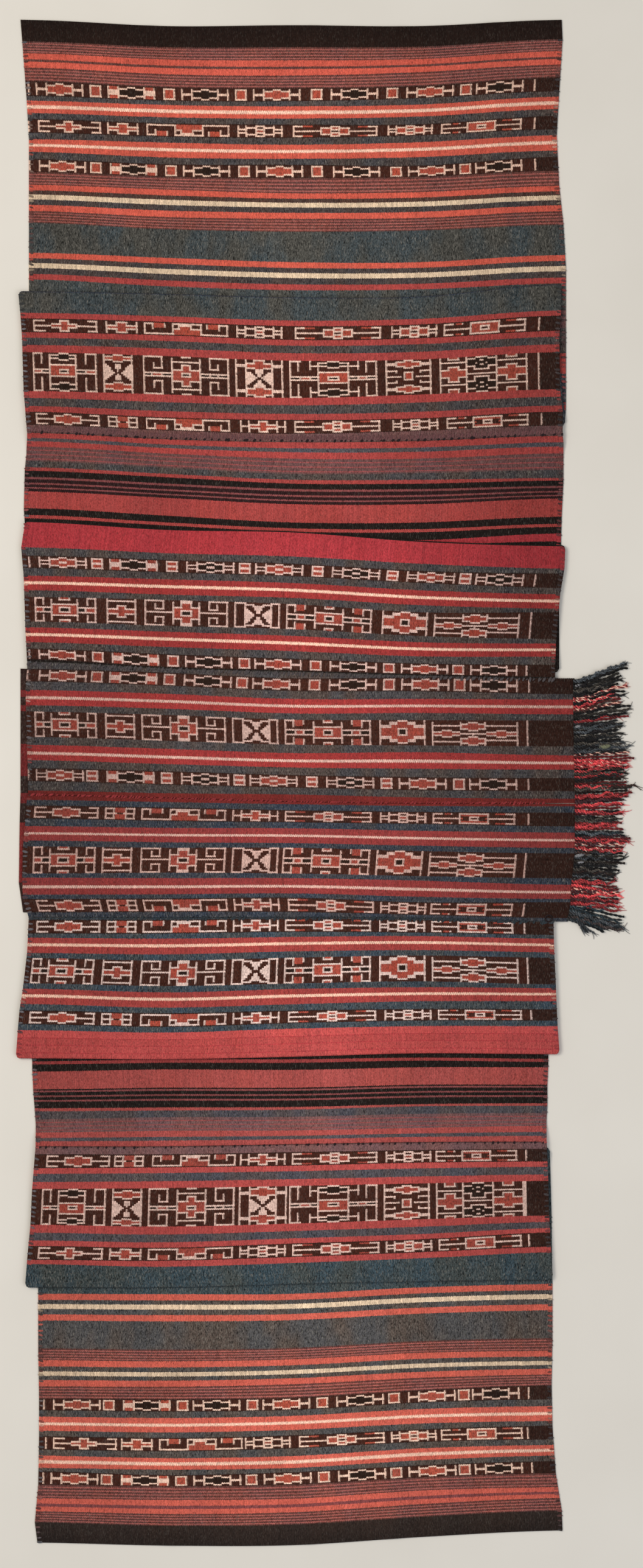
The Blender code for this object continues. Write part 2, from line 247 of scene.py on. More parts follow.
# %% The dyes
DYES = {
    "coral": ("BE5546", 0.10), "crimson": ("943433", 0.15), "cherry": ("A0343A", 0.12),
    "clay": ("A04A46", 0.15), "shell": ("BE5A4C", 0.10), "russet": ("9A3F3C", 0.15),
    "garnet": ("883736", 0.18), "brick": ("AE4846", 0.12), "tile": ("A44643", 0.10),
    "rose": ("7A4141", 0.20), "petal": ("8A4747", 0.20), "maroon": ("6E2724", 0.10),
    "madder": ("7F2E2E", 0.25), "mauve": ("6E4D4D", 0.40), "purple": ("644443", 0.40),
    "green": ("424443", 0.90), "lake": ("394245", 0.90), "dove": ("3A4249", 0.85),
    "moss": ("4E4744", 0.85), "grey": ("463E3D", 0.85), "blue": ("363941", 0.85),
    "steel": ("4C464A", 0.70), "navy": ("443B3A", 0.70), "dim": ("48332D", 0.50),
    "black": ("1C1513", 0.30), "mud": ("2A1718", 0.20), "umber": ("3A2723", 0.40),
    "ground": ("2F1B15", 0.28), "earth": ("3C1F17", 0.28), "pitch": ("271913", 0.15),
    "border": ("211511", 0.16), "hem": ("2E2420", 0.22), "line": ("9A5750", 0.25),
    "gap": ("5E3833", 0.45), "cream": ("CFB79C", 0.0), "white": ("CBA79C", 0.0),
    "pink": ("AE7468", 0.0), "chalk": ("E4BCA8", 0.0), "chalk pink": ("CF937F", 0.0),
    # The rest are for thread, and candy is a cord with one white ply.
    "slate": ("464B50", 0.0), "soot": ("1E1C1E", 0.0), "ash": ("4A4540", 0.0), "teal": ("2B3A42", 0.0),
    "plum": ("4A2A30", 0.0), "scarlet": ("BA4246", 0.0), "candy": ("BA4246", 1.0),
    "stitch dark": ("22161A", 0.0), "stitch plum": ("6A4648", 0.0), "stitch grey": ("4E484A", 0.0),
    "stitch red": ("8C3032", 0.0), "stitch blue": ("2E363C", 0.0), "knot grey": ("85868A", 0.0),
    "knot olive": ("73755E", 0.0),
}
BAND_DYES = {  # the white and the red of each panel's figures, which took some of its other dyes
    "A": ("D3B09E", "A24838"), "B": ("CDAEA0", "9A4436"), "D": ("C9A9A0", "923F33"),
    "E": ("BA9B92", "8C3E33"), "F": ("BE9C92", "903F34"), "G": ("CEB5AD", "9C4538"),
    "H": ("CAABA0", "934136"), "I": ("D6B5A3", "A04A3A"),
}
FIGURE_FLECKS = {"w": 0, "r": 0.35}  # the flecks of those two
CHART_DYES = {" ": "ground", ".": "earth", "k": "pitch"}
PALETTE = {name: linear(hex_colour, fleck) for name, (hex_colour, fleck) in DYES.items()}
print(len(PALETTE), "dyes")

# %% [markdown]
# ## The charts of the figures
# Ikat figures are bound by counting: each knot covers one bundle of threads, and its place is
# counted in ribs. So a chart on squared paper is the natural way to write them down. In these charts
# one letter is one rib: a dot is the brown ground, w white, r red, k black, and f the colour that
# fills a diamond. Past a band's last figure the ground is darker, which a space stands for. Many
# lines of a chart come back, so a chart is spelled with one letter for a line.


# %% Reading a chart
def spell(order, *lines):
    """The rows of a chart: each letter of the order names one of the lines, a being the first."""
    assert len({len(line) for line in lines}) == 1, lines
    return [lines[ord(letter) - ord("a")] for letter in order]


def beside(*charts):
    """One chart made of several that stand side by side."""
    return ["".join(parts) for parts in zip(*charts)]


def turned(chart):
    """A chart with its left and right swapped."""
    return [line[::-1] for line in chart]


# %% Diamonds and squares
MIRRORED = "abcdcba"  # seven rows, the lower three as the upper three
BAR = spell("a" * 7, "w")
DIAMOND = spell(MIRRORED, "w....w....wwww....w....w", "w....wwwwwffffwwwww....w",
                "w....wffffffffffffw....w", "wwwwwwffffffffffffwwwwww")
SQUARE = spell("abbbbba", "wwwwww", "wrrrrw")
BOXED_DIAMOND = spell("abcccba", "wrrrrw....wwww....wrrrrw", "wrrrrwwwwwffffwwwwwrrrrw",
                      "wwwwwwffffffffffffwwwwww")
DOUBLE_DIAMOND = spell(MIRRORED, "w....w....wwww....w....w", "w....wwwwwffffwwwww....w",
                       "wwwwwwffffffffffffwwwwww", "w....wffffwwwwffffw....w")
DOUBLE_SQUARE = spell("abbabba", "wwwwww", "wrrrrw")
DIAMOND_FILLS = "rkkrkrk"

# %% Narrow bands of hooks, first kind
HOOKS_P = (
    spell(MIRRORED, "wwwwww.......wwwww.........wwwww", "w............wrrrw.............w",
          "w........wwwwwrrrwwwww.........w", "wwwwwwwwwrrrrrrrrrrrrwwwwwwwwwww"),
    spell(MIRRORED, "w....wwwwww....w", "w....wrrrrw....w", "wwwwwwrrrrwwwwww", "wrrrrrrrrrrrrrrw"),
    spell("abbcdef", "wwwwwwwwwwwwwwwrrrrrrrrrrrrrwwwwwwwwwwwwww",
          "w.............wrrrrrrrrrrrrrw............w", "w...w.........wwwwrrrrrwwwwww........w...w",
          "w...wrrrrrw...w..wrrrrrw....w..wrrrrrw...w", "w...wrrrrrw...w..wwwwwww....w..wrrrrrw...w",
          "wwwwwrrrrrw...wwwwwwwwwwwwwww..wrrrrrwwwww"),
    spell(MIRRORED, "w...w....wwwww....w...w", "w...wwwwww...wwwwww...w", "wwwww....wwwww....wwwww",
          "w...w....wrrrw....w...w"),
    spell(MIRRORED, "wwwwwrrrrr.........wwwww.........rrrrrwwwww",
          "w.............wwwwwwrrrwwwwww.............w", "w.............wrrrrwwwwwrrrrw.............w",
          "wwwwwwwwwwwwwwwrrrrw...wrrrrwwwwwwwwwwwwwww"),
    spell(MIRRORED, "w...w....wwwww....w...w", "w...wwwwwwrrrwwwwww...w", "wwwwwrrrrwwwwwrrrrwwwww",
          "w...wrrrrw...wrrrrw...w"),
    spell(MIRRORED, "wwwww.rrrw...wwwwwwwwwwwwwww...rrrrrwwwww", "w............wrrrrrrrrrrrrrw............w",
          "w............wrrrrwwwwwrrrrw............w", "wwwwwwwwwwwwwwrrrrw...wrrrrwwwwwwwwwwwwww"),
)

# %% Narrow bands of hooks, second kind
HOOKS_Q = (
    spell(MIRRORED, "wwwwww........wwww.........wwwww", "w........wwwwwrrrrwwwww........w",
          "w........wrrrrrrrrrrrrw........w", "wwwwwwwwwwrrrrrrrrrrrrwwwwwwwwww"),
    spell("abbcbba", "wwwwwrrrrrwwwww", "w...wrrrrrw...w", "wwwwww...wwwwww"),
    HOOKS_P[2],
    spell(MIRRORED, "w...w....wwwww....w...w", "w...w....wrrrw....w...w", "w...wwwwwwrrrwwwwww...w",
          "wwwwwrrrrrrrrrrrrrwwwww"),
    HOOKS_P[4],
    HOOKS_P[3],
    spell(MIRRORED, "wwwww.rrrw...wwwwwwwwwwwwwww...rrrrrwwwww", "w............wrrrrrrrrrrrrrw............w",
          "w............w....wwwww....w............w", "wwwwwwwwwwwwwwr...w...w...rwwwwwwwwwwwwww"),
)

# %% The tall band, 24 rows
TALL_ORDER = "abcbdeefgghihgfeeedbccba"
TALL = (
    spell(TALL_ORDER, "wwwww........wwwww........wwwwww", "w...w...wwwwwkkkkkwwww....w....w",
          "w...w...wkkkkkkkkkkkkw....w....w", "w...w...w....wwwww...w....w....w",
          "w...w...w............w....w....w", "w.......wwwwwwwwwwwwww.........w",
          "w.......wrrrrrrrrrrrrw.........w", "wwwwwwwwwrrrrwwwwwrrrwwwwwwwwwww",
          "wrrrwkkkwrrrrwkkkwrrrwkkkkwrrrrw"),
    spell("abcbdefghijkjhgfedbccbal", "w....wwwww....w", "wwwwwrrrrrwwwww", "wrrrrrrrrrrrrrw",
          "w....wwwww....w", "w.............w", "ww....www....ww", "www...www...www", "wwww..www..wwww",
          "wwww...w...wwww", "wwwww..w..wwwww", "wwwwww...wwwwww", "w.............w"),
    beside(
        spell("abbbcccdeeafaeedccccbbba", "wwwwwwwwww", "w........w", "w....w...w", "w....wwwww",
              "w.........", "wkkkwrrrrw"),
        spell("aaaaaaaaaabcbaaaaaaaaaaa", "....", "wwww", "kkkk"),
        spell("abbcbdeefghihggfeedbcbba", ".....wwwww.....", "w.............w", "wwwwwwwwwwwwwww",
              "w....wwwww....w", "w....wrrrw....w", "wwwwwwrrrwwwwww", "wrrrrrrrrrrrrrw",
              "wrrrrwwwwwrrrrw", "wrrrrwkkkwrrrrw"),
        spell("aaaaaaaaaabcbaaaaaaaaaaa", "....", "wwww", "kkkk"),
        spell("abbbcccdeeafaeedccccbbba", "wwwwwwwwww", "w........w", "w...w....w", "wwwww....w",
              ".........w", "wkkkwkkkkw")),
    beside(
        spell("aaabbaaaaaaaaaaaaaabbaaa", "w....w", "wwwwww"),
        spell("abcddceefghijgklmncdddca", "...wwwwww...", "...wrrrrw...", "wwwwrrrrwwww", "rrrrrrrrrrrr",
              "....wwww....", "ww..wwww..ww", "www..ww..www", "wwww.ww.wwww", "wwwww..wwwww",
              "wwww....wwww", "ww...ww...ww", "w...wwww...w", "...wwwwww...", "...wwwwww..."),
        spell("aaabbaaaaaaaaaaaaaabbaaa", "w....w", "wwwwww")),
    beside(
        spell("abbcbbdeeefgfeeddbbbcbba", "wwwwww....w...", "w...w.....w...", "w...w.....wwww",
              "w...w.........", "w.............", "wwwwwwwwwwwwww", "wkkkkwrrrrwkkk"),
        spell(TALL_ORDER, ".....wwwwww.....", "wwwwwkkkkkkwwwww", "wkkkkkkkkkkkkkkw", "w....wwwwww....w",
              "w..............w", "wwwwwwwwwwwwwwww", "wrrrrrrrrrrrrrrw", "wrrrrwwwwwwrrrrw",
              "wrrrrwkkkkwrrrrw"),
        spell("abbcbbddeefgfeeddbbbcbba", "....w...wwwwww", "....w...w....w", "wwwww...w....w",
              "........w....w", ".............w", "wwwwwwwwwwwwww", "kkkkwrrrwkkkkw")),
    spell("abccbadefgghgaiedabccbad", "w........wwwww........w", "w....wwwwwrrrwwwww....w",
          "wwwwwwrrrrrrrrrrrwwwwww", "w.....................w", "wwwwww...........wwwwww",
          "w....w...wwwww...w....w", "w........wrrrw........w", "wwwwwwww.wrrrw.wwwwwwww",
          "w....w...........w....w"),
    beside(
        spell("a" * 24, "w"),
        spell("abcdccbaeffffeaabcdccbaa", "...wrrrrw...", "...wwwwww...", "............",
              "wwwwwwwwwwww", "wwwwrrrrwwww", "rrrrrrrrrrrr"),
        spell("a" * 24, "w"),
        spell("abcdecbfghhihgffbcdecbja", "....wwwwww....", "wwwwkkkkkkwwww", "kkkkkkwwkkkkkk",
              "kkkkkkkkkkkkkk", "kkkkwkkkkwkkkk", "...wkkkkkkw...", "...wwwwwwww...",
              "..............", "wwwwwwwwwwwwww", "....kkkkkk...."),
        spell("a" * 24, "w"),
        spell("abcdccbaeffffeaabcdccbaa", "....wrrrrw....", "....wwwwww....", "..............",
              "wwwwwwwwwwwwww", "wwwwwrrrrwwwww", "rrrrrrrrrrrrrr"),
        spell("a" * 24, "w")),
)

# %% The broad bands, 16 rows
BROAD_ORDER = "abccdefggfedccba"
BROAD_WING = spell("abcccdefeedcccba", "wwwwwwwwww....", "w........w....", "w....w...w....",
                   "w....wwwww....", "w.............", "wwwwwwwwwwwwww")
BROAD_HAND = spell("abbcdefggfedbbba", "wwwwwrrrrw....", "w...wrrrrw....", "w...wrrrr.....",
                   "w...w.........", "w.............", "wwwwwwwwwwwwww", "wkkkkwrrrwkkkk")
POST = spell("abbbbbbbbbbbbbbb", ".", "w")
BROAD = (
    spell(BROAD_ORDER, "wwwww.......wrrrrw........wwwww", "w...w...w...wwwwww...w....w...w",
          "w...w...w............w....w...w", "w...w...wwwwwwwwwwwwww....w...w",
          "w.......wrrrrrrrrrrrrw........w", "wwwwwwwwwrrrwwwwwwrrrwwwwwwwwww",
          "wrrrwkkkwrrrwkkkkwrrrwkkkwrrrrw"),
    spell("abaacdeffedcaaba", "w.............w", "wwwwwwwwwwwwwww", "w....wwwww....w",
          "w....wrrrw....w", "wwwwwwrrrwwwwww", "wrrrrrrrrrrrrrw"),
    beside(BROAD_WING,
           spell(BROAD_ORDER, "....wwwwww....", "w...wwwwww...w", "w...wrrrrw...w", "wwwwwrrrrwwwww",
                 "wrrrrrrrrrrrrw", "wrrrwwwwwwrrrw", "wrrrwkkkkwrrrw"),
           turned(BROAD_WING)),
    beside(spell("abbbbbbbbbbbbbba", "wwwwww", "w....w"),
           spell("abcdefghhgfiecba", "............", "wwww....wwww", "...wwwwww...", "....wwww....",
                 "w...wwww...w", "ww...ww...ww", "www..ww..www", "wwww....wwww", "ww..wwww..ww"),
           spell("abbbbbbbbbbbbbba", "wwwww", "w...w")),
    beside(BROAD_HAND,
           spell(BROAD_ORDER, ".....wrrrw.....", "w....wwwww....w", "w.............w", "wwwwwwwwwwwwwww",
                 "wrrrrrrrrrrrrrw", "wrrrrwwwwwrrrrw", "wrrrrwkkkwrrrrw"),
           turned(BROAD_HAND)),
    spell("abbccdeeedccbbaf", "w........wwwww........w", "w....wwwwrrrrrwwww....w",
          "wwwwwwrrrrrrrrrrrwwwwww", "wrrrrrrrrwwwwwrrrrrrrrw", "wrrrrrrrrwkkkwrrrrrrrrw",
          "w.....................w"),
    beside(POST,
           spell("aaabaacdedcaabaa", ".............", "wwwwwwwwwwwww", "....wwwww....",
                 "wwwwrrrrrwwww", "rrrrrrrrrrrrr"),
           spell("abcddceafgecddcb", ".............", "w...wwwww...w", "wwwwrrrrrwwww", "wrrrrrrrrrrrw",
                 "....wwwww....", "wwwwwwwwwwwww", "......w......"),
           spell("aaabaacdedcabaaa", "...............", "wwwwwwwwwwwwwww", ".....wwwww.....",
                 "wwwwwrrrrrwwwww", "rrrrrrrrrrrrrrr"),
           POST),
)
print("charts:", [[len(chart[0]) for chart in family] for family in (HOOKS_P, HOOKS_Q, TALL, BROAD)])

# %% [markdown]
# ## Where each figure starts
# The cloth has 24 figured bands. Each is a row of charts, and the weaver set every chart a little
# off, as hands do. The tables give where each chart's left rib lies, in millimetres from the middle.

# %% Starts of the figures
DIAMOND_BANDS = {
    "A1": (-355, -345, -282, -260, -195, -173, -108, -88, -20, 4, 71, 93, 157, 176, 244),
    "A3": (-352, -341, -280, -257, -192, -170, -105, -85, -18, 7, 74, 96, 157, 176, 245),
    "E1": (-355, -342, -280, -259, -193, -170, -107, -88, -21, 1, 66, 88, 149, 169, 237),
    "D3": (-352, -341, -278, -255, -190, -167, -105, -86, -21, 2, 67, 87, 149, 169, 236),
    "I1": (-336, -324, -265, -242, -179, -158, -96, -77, -13, 10, 73, 95, 154, 172, 239),
    "I3": (-336, -327, -267, -245, -179, -159, -96, -75, -10, 12, 75, 96, 156, 175, 241),
}
DOUBLED_BANDS = {
    "D1": (-353, -342, -279, -257, -190, -167, -105, -85, -18, 5, 71, 94, 157, 176, 244),
    "E3": (-355, -344, -284, -262, -196, -174, -111, -91, -24, -2, 64, 86, 149, 169, 237),
}
HOOK_BANDS = {
    "A2": (-353, -343, -261, -214, -106, -41, 72, 136, 244),
    "B1": (-348, -263, -216, -107, -39, 75, 139, 250),
    "B3": (-344, -259, -213, -103, -38, 77, 142, 252),
    "F1": (-346, -263, -219, -113, -49, 62, 126, 237),
    "F3": (-343, -260, -217, -111, -47, 62, 122, 232),
    "G1": (-344, -261, -218, -111, -49, 61, 124, 232),
    "G3": (-352, -267, -221, -111, -46, 67, 131, 240),
    "H1": (-333, -251, -208, -103, -41, 69, 129, 234),
    "H3": (-342, -258, -211, -104, -41, 69, 131, 237),
    "I2": (-335, -324, -243, -199, -97, -34, 75, 135, 237),
}
TALL_BANDS = {
    "B2": (-347, -264, -218, -108, -44, 70, 134, 249),
    "H2": (-337, -255, -211, -105, -44, 67, 128, 235),
}
BROAD_BANDS = {
    "D2": (-346, -262, -216, -110, -49, 64, 126, 239),
    "E2": (-346, -263, -220, -113, -51, 62, 123, 237),
    "F2": (-348, -267, -221, -114, -52, 59, 121, 234),
    "G2": (-350, -267, -221, -113, -50, 62, 123, 237),
}
SECOND_KIND = ("B3", "F1", "F3", "G1", "G3", "H1")
UPSIDE_DOWN = ("B1", "I2", "F1", "G1", "H1", "H2")
NARROW_ROWS = (1.8, 2.63, 2.63, 2.63, 2.63, 2.63, 2.63, 2.63, 1.5)  # shares of a narrow band's height
DIAMOND_ROWS = (1.8, 2.63, 2.63, 2.24, 3.95, 2.24, 2.63, 2.63, 1.5)


def band_charts(key):
    """The charts of one band from left to right, its starts, and the shares of its rows."""
    if key in DIAMOND_BANDS or key in DOUBLED_BANDS:
        starts = DIAMOND_BANDS.get(key) or DOUBLED_BANDS[key]
        charts = [BAR]
        for number, fill in enumerate(DIAMOND_FILLS):
            plain = key in DIAMOND_BANDS or (key == "E3" and number >= 5)
            diamond = BOXED_DIAMOND if number == 1 else DIAMOND if plain else DOUBLE_DIAMOND
            charts.append([line.replace("f", fill) for line in diamond])
            charts.append(SQUARE if plain else DOUBLE_SQUARE)
        charts[-1] = BAR
        return charts, starts, DIAMOND_ROWS
    if key in HOOK_BANDS:
        starts = HOOK_BANDS[key]
        charts = [*(HOOKS_Q if key in SECOND_KIND else HOOKS_P), BAR]
        if len(starts) > len(charts):
            charts.insert(0, BAR)
        if key in UPSIDE_DOWN:
            charts = [chart[::-1] for chart in charts]
        return charts, starts, NARROW_ROWS
    starts = TALL_BANDS.get(key) or BROAD_BANDS[key]
    family = TALL if key in TALL_BANDS else BROAD
    charts = [*family, ["w"] * len(family[0])]
    if key in UPSIDE_DOWN:
        charts = [chart[::-1] for chart in charts]
    return charts, starts, (1,) * len(family[0])


print(sum(map(len, (DIAMOND_BANDS, DOUBLED_BANDS, HOOK_BANDS, TALL_BANDS, BROAD_BANDS))), "bands")

# %% [markdown]
# ## The six panels
# Each panel is one woven piece. Its solid in the frame gives the lines where it lies, folds and
# ends, and these rows repeat them: five heights, the left and right ends, and the layer. A visible
# part of a panel then has its own table of stripes, which says what lies above each line.

# %% Where the panels lie
Row = namedtuple("Row", "heights left right layer")
FOLD = 0  # marks a row that is the rounded edge between two layers

UPPER_END = (
    Row((903, 896, 897, 896, 903), -363, 278, 1),
    Row((878, 871, 871, 872, 880), -361, 279, 1),
    Row((813, 807, 807, 810, 818), -356, 275, 1),
    Row((762, 758, 756, 759, 766), -353, 272, 1),
    Row((708, 702, 698, 699, 707), -353, 275, 1),
    Row((663, 656, 653, 654, 661), -353, 280, 1),
    Row((615, 609, 603, 603, 609), -353, 283, 1),
    Row((523, 517, 512, 516, 526), -353, 283, 1),
    Row((424, 419, 415, 417, 422), -352, 282, FOLD),
    Row((523, 517, 512, 516, 526), -352, 272, 2),
    Row((582, 579, 575, 576, 590), -365, 277, FOLD),
    Row((556, 552, 547, 550, 558), -363, 277, 3),
    Row((527, 522, 517, 520, 527), -361, 275, 3),
    Row((463, 460, 455, 459, 465), -359, 276, 3),
    Row((439, 432, 429, 432, 439), -357, 279, 3),
    Row((414, 407, 404, 405, 411), -355, 279, 3),
)
UPPER_INNER = (
    Row((414, 407, 404, 405, 411), -355, 279, 3),
    Row((409, 401, 398, 399, 405), -355, 280, 2.6),
    Row((395, 388, 384, 386, 391), -356, 280, 1.2),
    Row((388, 381, 377, 378, 383), -356, 280, 1),
    Row((370, 362, 355, 355, 358), -358, 280, 1),
    Row((325, 316, 309, 309, 315), -359, 278, 1),
    Row((235, 229, 224, 217, 213), -354, 275, 1),
    Row((150, 143, 139, 134, 131), -351, 275, FOLD),
    Row((235, 229, 224, 217, 213), -350, 270, 2),
    Row((310, 301, 298, 287, 282), -358, 282, FOLD),
    Row((278, 272, 268, 260, 254), -362, 281, 3),
    Row((245, 241, 237, 228, 224), -359, 276, 3),
    Row((184, 179, 174, 167, 165), -357, 271, 3),
    Row((143, 136, 131, 127, 124), -355, 270, 3),
)
UPPER_FRINGED = (
    Row((143, 136, 131, 127, 124), -355, 293, 3),
    Row((134, 127, 123, 119, 116), -355, 293, 2.6),
    Row((124, 117, 113, 111, 108), -356, 293, 2),
    Row((110, 105, 100, 100, 99), -357, 293, 2),
    Row((45, 41, 36, 36, 33), -355, 294, 2),
    Row((1, -3, -6, -8, -10), -354, 295, 2),
    Row((-14, -18, -22, -23, -24), -354, 295, 2),
)
LOWER_FRINGED = (
    Row((-14, -18, -22, -23, -24), -355, 295, 2),
    Row((-43, -45, -46, -49, -51), -357, 295, 2),
    Row((-75, -77, -77, -81, -83), -360, 295, 2),
    Row((-112, -113, -113, -116, -120), -361, 291, 2),
    Row((-137, -137, -136, -139, -142), -360, 290, 2),
    Row((-149, -149, -149, -150, -154), -356, 288, 2.6),
    Row((-159, -159, -159, -160, -164), -353, 285, 3),
)
LOWER_INNER = (
    Row((-159, -159, -159, -160, -164), -353, 268, 3),
    Row((-201, -203, -199, -198, -200), -355, 269, 3),
    Row((-244, -247, -244, -242, -242), -360, 271, 3),
    Row((-269, -272, -269, -267, -267), -364, 272, 3),
    Row((-293, -295, -291, -288, -288), -366, 273, 3),
    Row((-326, -327, -324, -320, -321), -368, 275, FOLD),
    Row((-255, -256, -253, -250, -252), -351, 265, 2),
    Row((-166, -167, -166, -167, -171), -350, 263, FOLD),
    Row((-255, -256, -253, -250, -252), -350, 263, 1),
    Row((-342, -339, -339, -337, -337), -349, 262, 1),
    Row((-363, -361, -360, -357, -357), -348, 261, 1),
    Row((-388, -388, -386, -383, -382), -346, 261, 1),
    Row((-404, -404, -401, -399, -399), -345, 260, 1),
    Row((-411, -411, -408, -406, -405), -345, 260, 1.2),
    Row((-424, -424, -421, -419, -418), -345, 260, 2.6),
    Row((-430, -430, -427, -425, -424), -345, 260, 3),
)
LOWER_END = (
    Row((-430, -430, -427, -425, -424), -345, 260, 3),
    Row((-455, -455, -453, -449, -447), -347, 261, 3),
    Row((-480, -480, -477, -473, -471), -349, 262, 3),
    Row((-522, -525, -521, -516, -512), -351, 263, 3),
    Row((-564, -566, -561, -555, -549), -355, 265, 3),
    Row((-597, -597, -593, -590, -588), -357, 267, FOLD),
    Row((-517, -519, -515, -512, -510), -346, 258, 2),
    Row((-437, -437, -434, -432, -431), -343, 264, FOLD),
    Row((-517, -519, -515, -512, -510), -343, 266, 1),
    Row((-604, -605, -604, -597, -593), -342, 267, 1),
    Row((-669, -671, -669, -661, -657), -342, 267, 1),
    Row((-728, -730, -728, -719, -713), -341, 266, 1),
    Row((-773, -775, -773, -765, -761), -341, 267, 1),
    Row((-831, -833, -831, -822, -817), -342, 271, 1),
    Row((-875, -879, -877, -869, -861), -346, 278, 1),
    Row((-899, -903, -902, -892, -885), -343, 279, 1),
)
UNDER = (
    Row((135, 129, 125, 121, 119), -363, 239, 1),
    Row((-11, -15, -18, -21, -23), -363, 239, 1),
    Row((-82, -84, -85, -88, -90), -365, 239, 1),
    Row((-132, -134, -134, -136, -139), -365, 239, 1),
    Row((-153, -154, -154, -156, -159), -360, 239, 1),
)

# %% The stripes
TOP_TIER = (
    ((903, 896, 897, 896, 903), ""),
    ((877.5, 871, 871, 871.5, 880), "border"),
    ((863.5, 856.5, 855.5, 857, 866), "lines 8"),
    ((846.5, 839, 837.5, 841.5, 850), "coral 10, gap 4, coral 10"),
    ((830.5, 823.5, 822.5, 825, 835), "lines 8"),
    ((813, 807.5, 807, 810.5, 818.5), "A1"),
    ((807.5, 802.5, 801, 803, 812), "grey"),
    ((793, 788, 786.5, 789, 797.5), "coral 7, chalk 6, coral 7"),
    ((786, 781, 779.5, 780, 789.5), "grey"),
    ((769.5, 765, 763.5, 766.5, 773.5), "A2"),
    ((762, 758, 755.5, 758.5, 766.5), "grey"),
    ((747, 740.5, 739, 741, 748.5), "coral 8, chalk 5, coral 9"),
    ((738.5, 732.5, 732, 731, 741), "grey"),
    ((723, 717.5, 716, 717.5, 724.5), "A3"),
    ((708, 702.5, 698, 699.5, 706.5), "lines 8"),
    ((677, 670, 668, 669, 676.5), "coral 9, dim 7, cream 8, navy 9, coral 10"),
    ((663, 655.5, 652.5, 654, 660.5), "lines 8"),
    ((627.5, 621.5, 616.5, 616.5, 624.5), "green"),
    ((596, 588, 583.5, 584.5, 591), "coral 9, navy 8, cream 8, navy 10, russet 9"),
    ((560, 553, 548, 550, 560), "green"),
    ((538, 531, 526, 528, 538), "purple"),
    ((508, 501, 496, 498, 508), "grey"),
    ((484, 477, 472, 474, 484), "russet"),
    ((450, 443, 438, 440, 450), "blue"),
    ((443, 436, 431, 433, 443), "russet"),
    ((430, 425, 421, 423, 428), "blue"),
)
SECOND_TIER = (
    ((556, 552, 547, 549, 558.5), "green"),
    ((549.5, 545.5, 540.5, 542.5, 552.5), "russet"),
    ((533, 529.5, 524, 526, 534.5), "B1"),
    ((509.5, 505, 499.5, 501, 509.5), "russet 9, grey 12, russet 12"),
    ((463.5, 459.5, 455.5, 459.5, 465.5), "B2"),
    ((439, 432.5, 429.5, 431.5, 439), "russet 11, grey 13, russet 9"),
    ((423.5, 417, 413, 416.5, 422.5), "B3"),
    ((414.5, 407, 403.5, 405, 411), "purple"),
)
THIRD_TIER = (
    ((414.5, 407, 403.5, 405, 411), ""),
    ((398, 390, 384, 384, 390), "russet 8, steel 5, russet 8"),
    ((381, 373.5, 366, 367, 370.5), "purple 5, petal 2, purple 6, petal 2, purple 6, petal 2, purple 3"),
    ((373.5, 366, 359, 359, 361), "grey"),
    ((369.5, 362, 354.5, 354.5, 358), "russet"),
    ((362, 354.5, 348, 348, 351.5), "black"),
    ((345, 337.5, 330, 330, 336.5), "rose 3, mud 5, rose 2.4, mud 4, rose 2, mud 4"),
    ((325, 316.5, 308.5, 308.5, 315), "russet"),
    ((317, 308.5, 301.5, 300.5, 306.5), "black"),
    ((313, 305, 297.5, 297, 303), "russet"),
    ((303, 297.5, 290.5, 287.5, 295), "black"),
    ((295, 290, 284, 282, 286), "cherry"),
    ((280, 275, 268, 262, 262), "black"),
)
FOURTH_TIER = (
    ((278.5, 272, 268, 259.5, 254), "cherry"),
    ((269, 264, 259.5, 251, 248), "grey"),
    ((254, 249, 244.5, 236.5, 231), "D1"),
    ((245, 241, 236.5, 228, 223.5), "grey"),
    ((228, 223, 219, 210.5, 206.5), "crimson 9, chalk 5, crimson 10"),
    ((220, 216.5, 211.5, 202, 202), "grey"),
    ((191, 186, 182, 174, 170.5), "D2"),
    ((184, 179, 174, 166.5, 165), "grey"),
    ((166.5, 161, 156, 150, 149.5), "crimson 9, chalk 5, crimson 10"),
    ((159, 152.5, 147, 141.5, 140), "grey"),
    ((146, 137, 133, 128.5, 125.5), "D3"),
    ((143, 135.5, 131.5, 127, 124), "black"),
)
FIFTH_TIER = (
    ((143, 135.5, 131.5, 127, 124), ""),
    ((135, 130.5, 124, 125, 124), "grey"),
    ((120, 115, 109, 108.5, 105.5), "E1"),
    ((110, 105.5, 99.5, 99.5, 99), "grey"),
    ((92, 88, 82.5, 83, 81.5), "crimson 10, white 5, crimson 10"),
    ((84.5, 80.5, 75, 74.5, 74), "grey"),
    ((54.5, 50, 45.5, 44.5, 43.5), "E2"),
    ((45, 40.5, 35.5, 36.5, 33), "grey"),
    ((27, 22.5, 18.5, 17, 16), "crimson 11, white 5, crimson 9"),
    ((17.5, 14, 9.5, 7, 6), "grey"),
    ((2, -2, -5.5, -8.5, -9.5), "E3"),
    ((-9, -12, -13.5, -17, -18.5), "grey"),
    ((-14, -17.5, -22, -24, -24), "maroon"),
)
